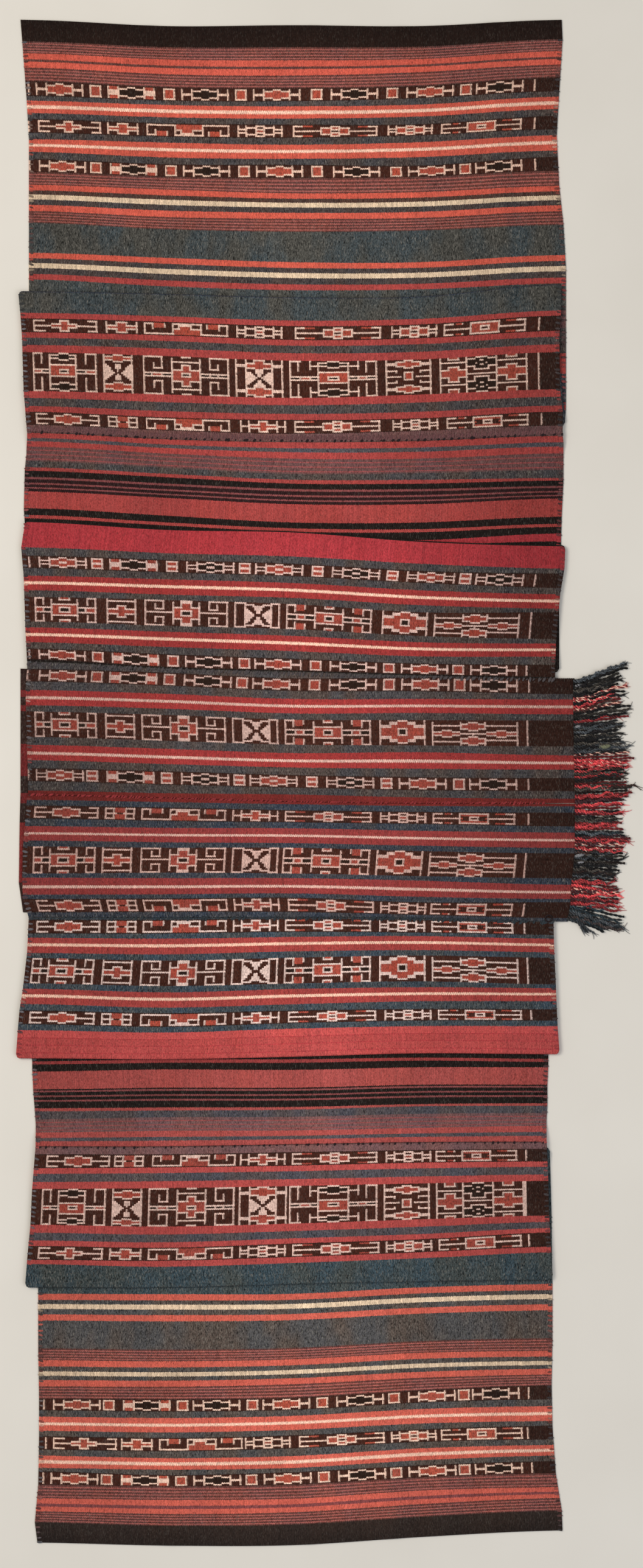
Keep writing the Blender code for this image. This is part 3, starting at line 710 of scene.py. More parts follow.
SIXTH_TIER = (
    ((-14, -17.5, -22, -24, -24), ""),
    ((-20, -22.5, -25, -27, -27.5), "maroon"),
    ((-26.5, -29, -32, -34, -35), "blue"),
    ((-42, -45, -46.5, -48.5, -51), "F1"),
    ((-51, -53, -53.5, -56.5, -58.5), "blue"),
    ((-68, -70, -71, -74, -76.5), "garnet 10, white 4, garnet 10"),
    ((-75, -76.5, -76.5, -80.5, -83), "blue"),
    ((-107, -106, -107, -110, -112.5), "F2"),
    ((-112, -112.5, -112.5, -115.5, -120), "blue"),
    ((-132, -131.5, -130.5, -134.5, -137), "garnet 12, white 5, garnet 10"),
    ((-137, -136.5, -135.5, -141, -141), "blue"),
    ((-153, -152.5, -152.5, -156, -159.5), "F3"),
    ((-159, -159.5, -159, -160, -164), "blue"),
)
SEVENTH_TIER = (
    ((-159, -159.5, -159, -160, -164), ""),
    ((-161.5, -161.5, -160, -161.5, -164.5), "dove"),
    ((-178, -178, -176, -177, -179.5), "G1"),
    ((-183, -184, -182, -181, -184), "dove"),
    ((-201, -202.5, -199, -197.5, -200), "russet 9, chalk 5, russet 11"),
    ((-207, -210, -206.5, -204, -206.5), "dove"),
    ((-237, -240, -237, -234.5, -238), "G2"),
    ((-243.5, -247.5, -243.5, -241.5, -242.5), "dove"),
    ((-261.5, -265.5, -261.5, -258, -258), "russet 9, chalk 5, russet 11"),
    ((-269, -272, -269, -267, -267.5), "dove"),
    ((-285.5, -288.5, -284, -281, -281), "G3"),
    ((-292.5, -295, -290.5, -287.5, -287.5), "dove"),
    ((-326, -326.5, -324.5, -320, -321.5),
     "brick 12, cherry 1, brick 11, cherry 1, brick 12, cherry 1, brick 9"),
)
EIGHTH_TIER = (
    ((-329.5, -327, -327, -325, -326.5), "black"),
    ((-333, -331, -331, -328.5, -330), "garnet"),
    ((-341.5, -339, -339.5, -336.5, -336.5), "black"),
    ((-362.5, -360.5, -360.5, -357, -357), "clay"),
    ((-385, -384, -383.5, -380, -379), "black 2, rose 2.6, black 5, rose 2.4, black 4.4, rose 2.6, black 10"),
    ((-388.5, -387.5, -386.5, -382.5, -382), "clay"),
    ((-398, -395.5, -395, -391.5, -390.5), "steel"),
    ((-413.5, -411.5, -411, -408, -405.5),
     "mauve 5, petal 1.6, mauve 5, petal 1.6, mauve 5, petal 1.6, mauve 3"),
    ((-430, -430, -427.5, -425, -424.5), "clay 8, steel 5, clay 8"),
)
NINTH_TIER = (
    ((-430, -430, -427.5, -425, -424.5), ""),
    ((-439, -439, -436.5, -434, -432.5), "mauve"),
    ((-455.5, -454.5, -452.5, -449, -447.5), "H1"),
    ((-480, -479, -476.5, -473.5, -470.5), "tile 9, steel 13, tile 11"),
    ((-522.5, -524.5, -521, -516, -511.5), "H2"),
    ((-547.5, -549.5, -544.5, -539.5, -531.5), "tile 13, steel 13, tile 9"),
    ((-564, -565, -560.5, -555, -548.5), "H3"),
    ((-569, -572, -567.5, -562, -555), "tile"),
    ((-596.5, -596.5, -592, -591, -588), "lake"),
)
BOTTOM_TIER = (
    ((-604.5, -605, -604.5, -597, -593), "lake"),
    ((-636, -637, -635.5, -628, -624), "shell 10, moss 7, cream 8, moss 9, shell 10"),
    ((-669, -670.5, -668.5, -660.5, -657), "moss"),
    ((-683, -684.5, -682, -674.5, -672), "lines 8"),
    ((-714, -714.5, -711.5, -704, -700), "shell 10, moss 8, cream 7, moss 7, shell 10"),
    ((-728.5, -729.5, -727.5, -719, -713), "lines 8"),
    ((-742.5, -744, -742, -733.5, -729.5), "I1"),
    ((-750, -751.5, -749, -741, -737.5), "moss"),
    ((-766.5, -768.5, -765.5, -758, -755), "shell 9, chalk 5, shell 9"),
    ((-773, -775, -772, -765, -760.5), "moss"),
    ((-789, -791, -787.5, -780, -777), "I2"),
    ((-796, -799, -796.5, -787.5, -783.5), "moss"),
    ((-810.5, -812.5, -810.5, -801.5, -796), "shell 7, chalk 6, shell 7"),
    ((-814.5, -819, -815.5, -807.5, -802.5), "moss"),
    ((-830.5, -832.5, -830.5, -822, -817), "I3"),
    ((-846.5, -848.5, -847, -837.5, -833.5), "lines 8"),
    ((-862, -865, -863, -853.5, -846.5), "shell 9, rose 5, shell 8"),
    ((-875, -879, -877.5, -868.5, -861.5), "lines 8"),
    ((-899, -902.5, -902, -892.5, -885), "hem"),
)

print(sum(map(len, (TOP_TIER, SECOND_TIER, THIRD_TIER, FOURTH_TIER, FIFTH_TIER, SIXTH_TIER, SEVENTH_TIER,
                    EIGHTH_TIER, NINTH_TIER, BOTTOM_TIER))), "lines across the cloth")

# %% [markdown]
# ## Weaving a strip
# A stripe is one line of coloured quads, two for each rib, because a rib has a left and a right
# flank. A figured band is several such lines, one for each row of its chart. No two cells of hand
# dyed thread take the dye alike, so each cell is a little lighter or darker than the next.


# %% Colours of the strips in one zone
FINE_LINES = ("gap 3", "line 2") * 4 + ("gap 2",)  # the fine pale lines between plain stripes
TEETH = {"white": "pink", "chalk": "chalk pink"}  # white stripes, and the dye of their toothed edges
TOOTHED = ((0.3, 0), (0.4, None), (0.3, 1))  # shares of a toothed stripe, and which flanks are teeth
THINNED = (0.15, 0.85)  # how much of a lone white flank the ground may take


def plain_strip(dye, ribs, teeth=None):
    """The colours of one plain stripe, with every second flank in the dye of its teeth, if it has any."""
    strip = np.tile(PALETTE[dye], (2 * ribs, 1))
    if teeth is not None:
        strip[teeth::2] = PALETTE[TEETH[dye]]
    return strip


def thinned(strips, white, seed):
    """The strips with every white line one rib wide made thinner and ragged, a flank at a time."""
    lone = white.copy()
    lone[:, 1:-1] &= ~white[:, :-2] & ~white[:, 2:]
    share = (np.random.default_rng(seed).uniform(*THINNED, lone.shape) * lone)[..., None]
    strips[:, 1::2] += (np.array(PALETTE["earth"]) - strips[:, 1::2]) * share
    return strips


def chart_strips(key, ribs, left, right):
    """The coloured strips of one figured band, from the top down, and the share of each."""
    charts, starts, shares = band_charts(key)
    rows = len(charts[0])
    letters = np.full((rows, ribs), ".")
    for chart, start in zip(charts, starts):
        first = round((start - left) / (right - left) * ribs)
        for number, line in enumerate(chart):
            for place, letter in enumerate(line, first):
                if 0 <= place < ribs:
                    letters[number, place] = letter
    letters[:, first + len(line):] = " "  # the ground past the last figure
    dyes = {letter: PALETTE[dye] for letter, dye in CHART_DYES.items()}
    for (letter, fleck), dye in zip(FIGURE_FLECKS.items(), BAND_DYES[key[0]]):
        dyes[letter] = linear(dye, fleck)
    colours = np.array([[dyes[letter] for letter in line] for line in letters])
    strips = list(thinned(np.repeat(colours, 2, axis=1), letters == "w", ord(key[0]) + int(key[1])))
    if len(shares) > rows:
        ground = plain_strip("ground", ribs)
        strips = [ground, *strips, ground]
    return list(zip(strips, shares))


def zone_strips(zone, ribs, left, right):
    """Every strip of a zone from the top down, with its share of the zone's height."""
    if len(zone) == 2:
        return chart_strips(zone, ribs, left, right)
    words = FINE_LINES if zone == "lines 8" else zone.split(", ")
    strips = []
    for word in words:
        dye, _, share = word.partition(" ")
        for part, teeth in TOOTHED if dye in TEETH else ((1, None),):
            strips.append((plain_strip(dye, ribs, teeth), float(share or 1) * part))
    return strips


# %% Lines of the mesh
Station = namedtuple("Station", "heights left right z angle outward rise colours coarse")


def between(section, guide, height, field):
    """A number of the solid's rows, read at this height of one guide line."""
    heights = [-row.heights[guide] for row in section]
    return float(np.interp(-height, heights, [getattr(row, field) for row in section]))


def flat_station(heights, section, colours):
    """A mesh line on a flat layer, with its ends and its layer read from the solid's rows."""
    z = float(layer_z(between(section, 2, heights[2], "layer")))
    return Station(tuple(heights), between(section, 0, heights[0], "left"),
                   between(section, 4, heights[4], "right"), round(z, 7), None, 0, 0, colours, False)


def fold_stations(before, row, after, colours):
    """The mesh lines that turn round a fold, from the layer before it to the layer after it."""
    low, high = layer_z(before.layer), layer_z(after.layer)
    outward = 1 if row.heights[2] > before.heights[2] else -1
    for step in range(FOLD_STEPS + 1):
        angle = math.pi * (step / FOLD_STEPS - 0.5)
        z = (low + high) / 2 + math.sin(angle) * (high - low) / 2
        yield Station(row.heights, row.left, row.right, float(z), angle, outward,
                      math.copysign(1, high - low), colours, True)


def tier_stations(tier, section, ribs, start=None):
    """The mesh lines of one visible tier. The first entry is a line alone, or start comes before it."""
    stations = []
    last = start
    for heights, zone in tier:
        if not zone:
            stations.append(flat_station(heights, section, None))
            last = heights
            continue
        middle = (between(section, 0, (last[0] + heights[0]) / 2, "left"),
                  between(section, 4, (last[4] + heights[4]) / 2, "right"))
        strips = zone_strips(zone, ribs, *middle)
        shares = np.cumsum([share for _, share in strips])
        for (colours, _), share in zip(strips, shares / shares[-1]):
            line = np.array(last) + (np.array(heights) - np.array(last)) * share
            stations.append(flat_station(line, section, colours))
        last = heights
    for row in section:
        nearest = min(range(len(stations)), key=lambda i: abs(stations[i].heights[2] - row.heights[2]))
        stations[nearest] = stations[nearest]._replace(coarse=True)
    levels = [stations[0].z, *(station.z for station in stations), stations[-1].z]
    return [station._replace(coarse=station.coarse or before != station.z or after != station.z)
            for station, before, after in zip(stations, levels, levels[2:])]


print("a fold turns in", FOLD_STEPS, "steps")


# %% Folds, edges and creases
def corner_drop(distance):
    """How far a fold's edge falls back at this distance from its end, on a quarter circle."""
    t = np.clip(distance / CORNER, 0, 1)
    return CORNER * (1 - np.sqrt(1 - (1 - t) ** 2))


CREASE_ENDS = 0.35  # height of a crease at its ends, as a share of its middle's
CREASES = (  # both ends, half width and height of each soft ridge, in millimetres
    (-208, 900, -214, 690, 10, 1.5), (-16, 898, -4, 640, 9, 1.6), (88, 897, 60, 700, 12, 1.3),
    (196, 899, 214, 560, 11, 1.7), (-110, 700, -150, 600, 14, 1.1), (-330, 610, -60, 640, 12, 1.0),
    (120, 660, 270, 600, 10, 1.2), (-60, 560, -44, 380, 12, 1.2), (150, 540, 132, 380, 9, 1.3),
    (-250, 500, -262, 330, 13, 1.1), (-340, 330, 20, 322, 11, 1.2), (60, 330, 262, 290, 10, 1.2),
    (20, 250, 34, 120, 12, 1.1), (-180, 240, -170, 60, 14, 0.9), (190, 230, 180, 30, 10, 1.1),
    (-290, 60, -270, -140, 12, 1.0), (-30, 20, -40, -150, 11, 1.0), (110, -30, 96, -240, 12, 1.2),
    (226, -60, 236, -260, 9, 1.2), (-130, -180, -150, -380, 13, 1.2), (20, -250, 8, -420, 10, 1.1),
    (-330, -300, -20, -312, 11, 1.3), (60, -306, 250, -296, 12, 1.2), (-240, -400, -228, -600, 11, 1.3),
    (140, -390, 152, -560, 12, 1.1), (-60, -470, -70, -700, 10, 1.2), (230, -600, 244, -870, 10, 1.5),
    (-300, -640, -40, -656, 13, 1.0), (60, -650, 80, -895, 11, 1.5), (-170, -700, -184, -900, 12, 1.6),
    (-318, -720, -300, -890, 10, 1.3), (-40, -780, -20, -900, 9, 1.2),
)


def margin_fall(x, margin):
    """How far a fringed panel has come down to the surface near its right edge, from 0 to 1."""
    return ease((x - MARGIN_IN) / (MARGIN_OUT - MARGIN_IN)) * bool(margin)


def ripple(x, y):
    """Height of the creases here. They lift all the layers alike, so that these never touch."""
    lift = 0 * (np.asarray(x) + y)
    for x0, y0, x1, y1, width, height in CREASES:
        along = (x / MM - x0) * (x1 - x0) + (y / MM - y0) * (y1 - y0)
        nearest = np.clip(along / ((x1 - x0) ** 2 + (y1 - y0) ** 2), 0, 1)
        gap = np.hypot(x / MM - x0 - nearest * (x1 - x0), y / MM - y0 - nearest * (y1 - y0)) / width
        taper = CREASE_ENDS + (1 - CREASE_ENDS) * np.sin(math.pi * nearest)
        lift = lift + height * MM * taper * np.exp(-gap**2)
    return lift


def station_points(station, columns, margin):
    """The middle of the cloth along one mesh line, and which way its face looks."""
    x = np.linspace(station.left * MM, station.right * MM, columns + 1)
    y = across(station.heights, x)
    z = np.full_like(x, station.z)
    if station.angle is not None:
        turn_back = CLOTH / 2 + LAYER / 2 * (1 - math.cos(station.angle))
        y = y - station.outward * (turn_back + corner_drop(np.minimum(x - x[0], x[-1] - x)))
    fall = margin_fall(x, margin)
    z = layer_z(1) + (z - layer_z(1)) * (1 - fall) + ripple(x, y) * (1 - fall)
    return np.stack([x, y, z], axis=1)


def face_normals(stations):
    """Which way the cloth's face looks at each mesh line, as a (y, z) pair. It turns over at a fold."""
    side = 1
    normals = []
    for station, following in zip(stations, [*stations[1:], stations[-1]]):
        if station.angle is None:
            normals.append((0, side))
            continue
        turn = -side * station.rise
        normals.append((turn * station.outward * math.cos(station.angle),
                        turn * station.rise * math.sin(station.angle)))
        if following.angle is None:
            side = -side
    return normals


def rolled(stations, above, below):
    """The mesh lines with one more close to each sewn edge, where the edge starts to roll down."""
    stations = list(stations)
    if above:
        stations.insert(1, near_edge(stations[0], stations[1], stations[1].colours))
    if below:
        stations.insert(-1, near_edge(stations[-1], stations[-2], stations[-1].colours))
    return stations


def near_edge(edge, inner, colours):
    """A mesh line a roll's width inside a sewn edge, on the strip that ends there."""
    share = min(ROLL_WIDTH / MM / abs(edge.heights[2] - inner.heights[2]), ROLL_MOST)
    heights = np.array(edge.heights) * (1 - share) + np.array(inner.heights) * share
    return edge._replace(heights=tuple(heights), left=edge.left + (inner.left - edge.left) * share,
                         right=edge.right + (inner.right - edge.right) * share, colours=colours,
                         coarse=True)


# %% How dye, wear and painted light vary
ROW_SPREAD, RIB_SPREAD, CELL_SPREAD = 0.04, 0.03, 0.06  # spread of the dye by row, by rib and by cell
UNDYED_SPREAD = 0.11  # spread of undyed cells, which take stains and show them most
SHADES = (0.60, 1.40)  # the darkest and lightest that a cell may be
# Mostly painted light and shade: the first patch lightens a broad strip down the middle, and the last is
# painted shade on the under layer's strip at the far left. The rest mix painted light with soil and fading.
PAINTED_LIGHT_AND_WEAR = (  # middle, half width and height in millimetres of soft patches, and the light they lose
    (-20, 0, 180, 1600, -0.38), (266, 270, 110, 300, 0.18), (-345, 5, 110, 120, 0.12),
    (262, -80, 90, 120, 0.08), (-310, 850, 160, 160, -0.12), (-20, -750, 360, 150, -0.12),
    (-260, -380, 120, 45, 0.10), (-340, 240, 60, 60, -0.16), (-370, 5, 14, 170, 0.40),
)


def painted_light_and_wear(x, y):
    """How light the cloth is here: below 1 where soiled or in painted shade, above it where faded or in
    painted light.
    """
    light = np.ones_like(x)
    for x0, y0, width, height, loss in PAINTED_LIGHT_AND_WEAR:
        light -= loss * np.exp(-((x / MM - x0) / width) ** 2 - ((y / MM - y0) / height) ** 2)
    return light


def dye_lots(strips, light, rng):
    """The strips with the unevenness of hand-dyed thread, by row, rib and cell, times the painted light and
    wear of each place.
    """
    rows, columns = strips.shape[:2]
    uneven = np.where(strips[..., 3] == 0, UNDYED_SPREAD, CELL_SPREAD)
    shade = (1 + ROW_SPREAD * rng.standard_normal((rows, 1))
             + RIB_SPREAD * rng.standard_normal((1, columns))
             + uneven * rng.standard_normal((rows, columns)))
    mixed = strips.copy()
    mixed[..., :3] *= (light * np.clip(shade, *SHADES))[..., None]
    return mixed


# %% From mesh lines to a closed piece of cloth
def cloth_piece(name, stations, ribs, seed, margin=False, above=False, below=False):
    """A closed mesh of one panel: its figured face, its plain back and the walls between them."""
    stations = rolled(stations, above, below)
    middle = np.array([station_points(station, 2 * ribs, margin) for station in stations])
    for sewn, line, pull in ((above, 0, -SEAM_PULL), (below, -1, SEAM_PULL)):
        if sewn:
            middle[line, :, 1] += pull
            middle[line, :, 2] -= EDGE_ROLL * (1 - margin_fall(middle[line, :, 0], margin))
    normals = np.array([(0, *pair) for pair in face_normals(stations)])[:, None]
    rib = np.where(np.arange(2 * ribs + 1) % 2, 1.0, -1.0)
    front = middle + normals * (CLOTH / 2 - RIB_RISE + RIB_RISE * rib)[None, :, None]
    rng = np.random.default_rng(seed)
    flat = [i for i, station in enumerate(stations[1:-1], 1) if station.angle is None]
    waves = rng.normal(0, SCALLOP_NOISE, (len(flat), 2 * ribs + 1))
    front[flat, :, 1] += SCALLOP * rib + waves.clip(-2 * SCALLOP_NOISE, 2 * SCALLOP_NOISE)
    coarse = [i for i, station in enumerate(stations) if station.coarse or i in (0, len(stations) - 1)]
    back = (middle - normals * (CLOTH / 2 - RIB_RISE / 2))[coarse][:, ::2]
    # Each cell takes the painted light and shade of the place where it lies, together with the wear there.
    strips = dye_lots(np.array([station.colours for station in stations[1:]]),
                      painted_light_and_wear(middle[1:, 1:, 0], middle[1:, 1:, 1]), rng)
    faces, colours = cloth_faces(strips, len(stations), coarse, ribs)
    mesh = bpy.data.meshes.new(name)
    mesh.from_pydata(np.concatenate([front.reshape(-1, 3), back.reshape(-1, 3)]).tolist(), [], faces)
    paint(mesh, colours)
    mesh.polygons.foreach_set("use_smooth", [True] * len(mesh.polygons))
    obj = bpy.data.objects.new(name, mesh)
    bpy.context.scene.collection.objects.link(obj)
    triangles = sum(len(face) - 2 for face in faces)
    print(f"{name}: {len(stations)} lines, {ribs} ribs, {triangles} triangles")
    return obj


def cloth_faces(strips, lines, coarse, ribs):
    """The faces of a panel's front, its back and its four walls, and the colour of each face."""
    front = np.arange(lines * (2 * ribs + 1)).reshape(lines, -1)
    back = front.size + np.arange(len(coarse) * (ribs + 1)).reshape(len(coarse), -1)
    backs = strips[np.array(coarse[1:]) - 1, ::2]
    parts = (
        (strips, (front[1:, :-1], front[1:, 1:], front[:-1, 1:], front[:-1, :-1])),
        (backs, (back[:-1, :-1], back[:-1, 1:], back[1:, 1:], back[1:, :-1])),
        (strips[0, ::2], (front[0, :-2:2], front[0, 1::2], front[0, 2::2], back[0, 1:], back[0, :-1])),
        (strips[-1, ::2], (front[-1, 2::2], front[-1, 1::2], front[-1, :-2:2], back[-1, :-1], back[-1, 1:])),
    )
    faces = [face for _, corners in parts for face in polygons(*corners)]
    colours = [dyes.reshape(-1, 4) for dyes, _ in parts]
    for number, (start, end) in enumerate(zip(coarse, coarse[1:])):
        left, right = front[start:end + 1, 0][::-1], front[start:end + 1, -1]
        faces.append([*left.tolist(), int(back[number, 0]), int(back[number + 1, 0])])
        faces.append([*right.tolist(), int(back[number + 1, -1]), int(back[number, -1])])
        colours.append(strips[start, [0, -1]])
    return faces, np.concatenate(colours)


def polygons(*corners):
    """Faces from one array of vertex numbers for each of their corners."""
    return np.stack([np.ravel(corner) for corner in corners], axis=1).tolist()


def paint(mesh, colours):
    """Store one colour for each face, on the face's corners, so that the edges stay sharp."""
    counts = np.empty(len(mesh.polygons), int)
    mesh.polygons.foreach_get("loop_total", counts)
    layer = mesh.color_attributes.new("dye", "FLOAT_COLOR", "CORNER")
    layer.data.foreach_set("color", np.repeat(colours, counts, axis=0).ravel())


# %% The cloth's material
THREAD_NOISES = (  # name, width and length in millimetres, and detail of the cloth's uneven patterns
    ("fibre", 0.8, 2.0, 3.0), ("pale", 0.7, 4.2, 1.0), ("dark", 0.8, 3.4, 1.0), ("drift", 34, 75, 2.0),
    ("soil", 70, 70, 4.0),
)
NOISE_APART = 7.3  # shift from one pattern to the next, so that none repeats another
INDIGO_LEAN, BROWN_LEAN = (0.82, 1.01, 1.17), (1.09, 1.00, 0.91)  # what drift does to a dark dye
UNDYED = "9A958C"  # the grey white of undyed, dusty thread


def thread_surface(tree, shader, colour, fibre, specular, sheen):
    """Give a shader the colour of thread, the small bumps of its fibres and its faint soft shine."""
    bump = add(tree, "ShaderNodeBump", {"Height": fibre, "Distance": 0.0004, "Strength": 0.6})
    tree.links.new(colour, shader.inputs["Base Color"])
    tree.links.new(bump.outputs[0], shader.inputs["Normal"])
    shader.inputs["Specular IOR Level"].default_value = specular
    shader.inputs["Sheen Weight"].default_value = sheen


def handwoven_cotton():
    """Handwoven cotton, warp-faced: matt ribs of soft thread, with pale thread ends in the dark stripes."""
    material, tree, shader, place = new_material("handwoven_ikat_cotton", 0.95)
    dye = add(tree, "ShaderNodeAttribute", attribute_name="dye")
    fleck = dye.outputs["Alpha"]
    noise = {}
    for number, (name, width, length, detail) in enumerate(THREAD_NOISES):
        stretched = add(tree, "ShaderNodeMapping", {
            "Vector": place, "Location": (NOISE_APART * number, 0, 0),
            "Scale": (1 / (width * MM), 1 / (length * MM), 1 / (length * MM))})
        noise[name] = add(tree, "ShaderNodeTexNoise", {"Vector": stretched.outputs[0], "Scale": 1.0,
                                                       "Detail": detail}).outputs[0]
    # Fibre: each thread is lighter and darker along its length, most of all in the dark dyes.
    depth = calc(tree, "MULTIPLY_ADD", fleck, 1.9, 1.5)
    fibre = calc(tree, "MULTIPLY_ADD", calc(tree, "SUBTRACT", noise["fibre"], 0.5), depth, 1.0)
    # Painted shade in the gaps between threads, which the eye sees as short upright strokes.
    gap = calc(tree, "MULTIPLY", remap(tree, noise["dark"], 0.54, 0.68, 0.0, 0.75),
               calc(tree, "MULTIPLY_ADD", fleck, 0.8, 0.38))
    threads = calc(tree, "MULTIPLY", fibre, calc(tree, "SUBTRACT", 1.0, gap))
    shade = calc(tree, "MULTIPLY", threads, remap(tree, noise["soil"], 0.3, 0.7, 0.90, 1.10))
    # Drift: a dark dye leans to indigo in some places and to brown in others.
    hue = mix(tree, remap(tree, noise["drift"], 0.40, 0.60), BROWN_LEAN, INDIGO_LEAN, "VECTOR")
    tinted = vector_calc(tree, "MULTIPLY", dye.outputs["Color"], mix(tree, fleck, (1, 1, 1), hue, "VECTOR"))
    # Pale thread ends: short strokes where the undyed core of a thread shows.
    stroke = calc(tree, "MULTIPLY", remap(tree, noise["pale"], 0.58, 0.72, 0.0, 0.50), fleck)
    colour = mix(tree, stroke, vector_calc(tree, "SCALE", tinted, shade), linear(UNDYED))
    thread_surface(tree, shader, colour, noise["fibre"], specular=0.12, sheen=0.02)
    return material


COTTON = handwoven_cotton()
print("material:", COTTON.name)


# %% The six panels and the layer below them
def folded(first, second, section_one, hidden, section_two, ribs):
    """The mesh lines of a pleated panel: its first tier, the hidden layers and its second tier."""
    lines = tier_stations(first, level(section_one), ribs)
    colours = lines[-1].colours
    if hidden[0].layer == FOLD:
        lines.pop()
    rows = [section_one[-2], *hidden, section_two[1]]
    for before, row, after in zip(rows, rows[1:], rows[2:]):
        if row.layer == FOLD:
            lines += fold_stations(before, row, after, colours)
        else:
            lines.append(Station(row.heights, row.left, row.right, float(layer_z(row.layer)), None, 0, 0,
                                 colours, True))
    return lines + tier_stations(second, level(section_two), ribs, start=hidden[-1].heights)


def level(section):
    """A tier's rows, with a fold at its end taken as a line of the tier's own layer."""
    first, last = section[0], section[-1]
    return (first._replace(layer=first.layer or section[1].layer), *section[1:-1],
            last._replace(layer=last.layer or section[-2].layer))


UPPER_END_RIBS, UPPER_INNER_RIBS, FRINGED_RIBS = 268, 267, 272
LOWER_INNER_RIBS, LOWER_END_RIBS, UNDER_RIBS = 262, 257, 252
PANELS = {}


def panel(name, stations, ribs, **options):
    """Make one panel's piece, with its material."""
    stations = [stations[0]._replace(coarse=True), *stations[1:]]
    PANELS[name] = cloth_piece(name, stations, ribs, seed=len(PANELS) + 1, **options)
    PANELS[name].data.materials.append(COTTON)


panel("upper_end_cloth", folded(TOP_TIER, SECOND_TIER, UPPER_END[:8], UPPER_END[8:11],
                                UPPER_END[10:], UPPER_END_RIBS), UPPER_END_RIBS, below=True)
panel("upper_inner_cloth", folded(THIRD_TIER, FOURTH_TIER, UPPER_INNER[:7], UPPER_INNER[6:10],
                                  UPPER_INNER[9:], UPPER_INNER_RIBS), UPPER_INNER_RIBS, above=True,
      below=True)
panel("upper_fringed_cloth", tier_stations(FIFTH_TIER, UPPER_FRINGED, FRINGED_RIBS), FRINGED_RIBS,
      margin=True, above=True, below=True)
panel("lower_fringed_cloth", tier_stations(SIXTH_TIER, LOWER_FRINGED, FRINGED_RIBS), FRINGED_RIBS,
      margin=True, above=True, below=True)
panel("lower_inner_cloth", folded(SEVENTH_TIER, EIGHTH_TIER, LOWER_INNER[:6], LOWER_INNER[5:9],
                                  LOWER_INNER[8:], LOWER_INNER_RIBS), LOWER_INNER_RIBS, above=True,
      below=True)
panel("lower_end_cloth", folded(NINTH_TIER, BOTTOM_TIER, LOWER_END[:6], LOWER_END[5:9],
                                LOWER_END[8:], LOWER_END_RIBS), LOWER_END_RIBS, above=True)

# %% [markdown]
# ## The layer below the fringed panels
# A strip of older cloth under the middle of the pile shows at its left edge, brown with red bands, darkened
# there with painted shade.

# %% The under layer
UNDER_DROP = (0, 4, 7, 10, 12)  # how much lower its stripes lie on each guide line
UNDER_STRIPES = (
    (110, "umber"), (102, "madder"), (92, "umber"), (85, "madder"), (46, "umber"), (8, "madder"),
    (-12, "umber"), (-24, "madder"), (-47, "umber"), (-118, "madder"), (-153, "umber"),
)


def under_tier():
    """The stripes of the under layer, in the form of a tier's table."""
    yield UNDER[0].heights, ""
    for height, dye in UNDER_STRIPES[:-1]:
        yield tuple(height - drop for drop in UNDER_DROP), dye
    yield UNDER[-1].heights, UNDER_STRIPES[-1][1]


panel("under_cloth", tier_stations(list(under_tier()), UNDER, UNDER_RIBS), UNDER_RIBS)

# %% [markdown]
# ## Geometry Nodes for thread
# Two trees make everything that is sewn or twisted. The first lays beads of thread along a path, one
# for each stitch. The second twists two plies round a path into a cord. Each takes its path as a
# mesh of edges, whose points carry the colour of the thread in the same attribute as the cloth.


# %% A tree with named inputs
def new_tree(name, **inputs):
    """A Geometry Nodes tree that takes a path and these named numbers, and its two end nodes."""
    tree = bpy.data.node_groups.new(name, "GeometryNodeTree")
    tree.interface.new_socket("Geometry", in_out="OUTPUT", socket_type="NodeSocketGeometry")
    tree.interface.new_socket("Geometry", in_out="INPUT", socket_type="NodeSocketGeometry")
    for label, value in inputs.items():
        kind = "NodeSocketInt" if isinstance(value, int) else "NodeSocketFloat"
        tree.interface.new_socket(label, in_out="INPUT", socket_type=kind).default_value = value
    tree.interface.new_socket("Material", in_out="INPUT", socket_type="NodeSocketMaterial")
    return tree, add(tree, "NodeGroupInput")


def even_points(tree, path, step):
    """A path of mesh edges as a curve, with a point at every step."""
    curve = add(tree, "GeometryNodeMeshToCurve", {0: path})
    return add(tree, "GeometryNodeResampleCurve", {"Curve": curve.outputs[0], "Length": step},
               mode="LENGTH").outputs[0]


def close_tree(tree, start, mesh):
    """End a tree in Realize Instances and Set Material."""
    smooth = add(tree, "GeometryNodeSetShadeSmooth", {0: mesh})
    real = add(tree, "GeometryNodeRealizeInstances", {0: smooth.outputs[0]})
    dressed = add(tree, "GeometryNodeSetMaterial", {0: real.outputs[0],
                                                    "Material": start.outputs["Material"]})
    add(tree, "NodeGroupOutput", {0: dressed.outputs[0]})


# %% Laid stitches
SEEDS_APART = 17.0  # from one random roll of a stitch to the next


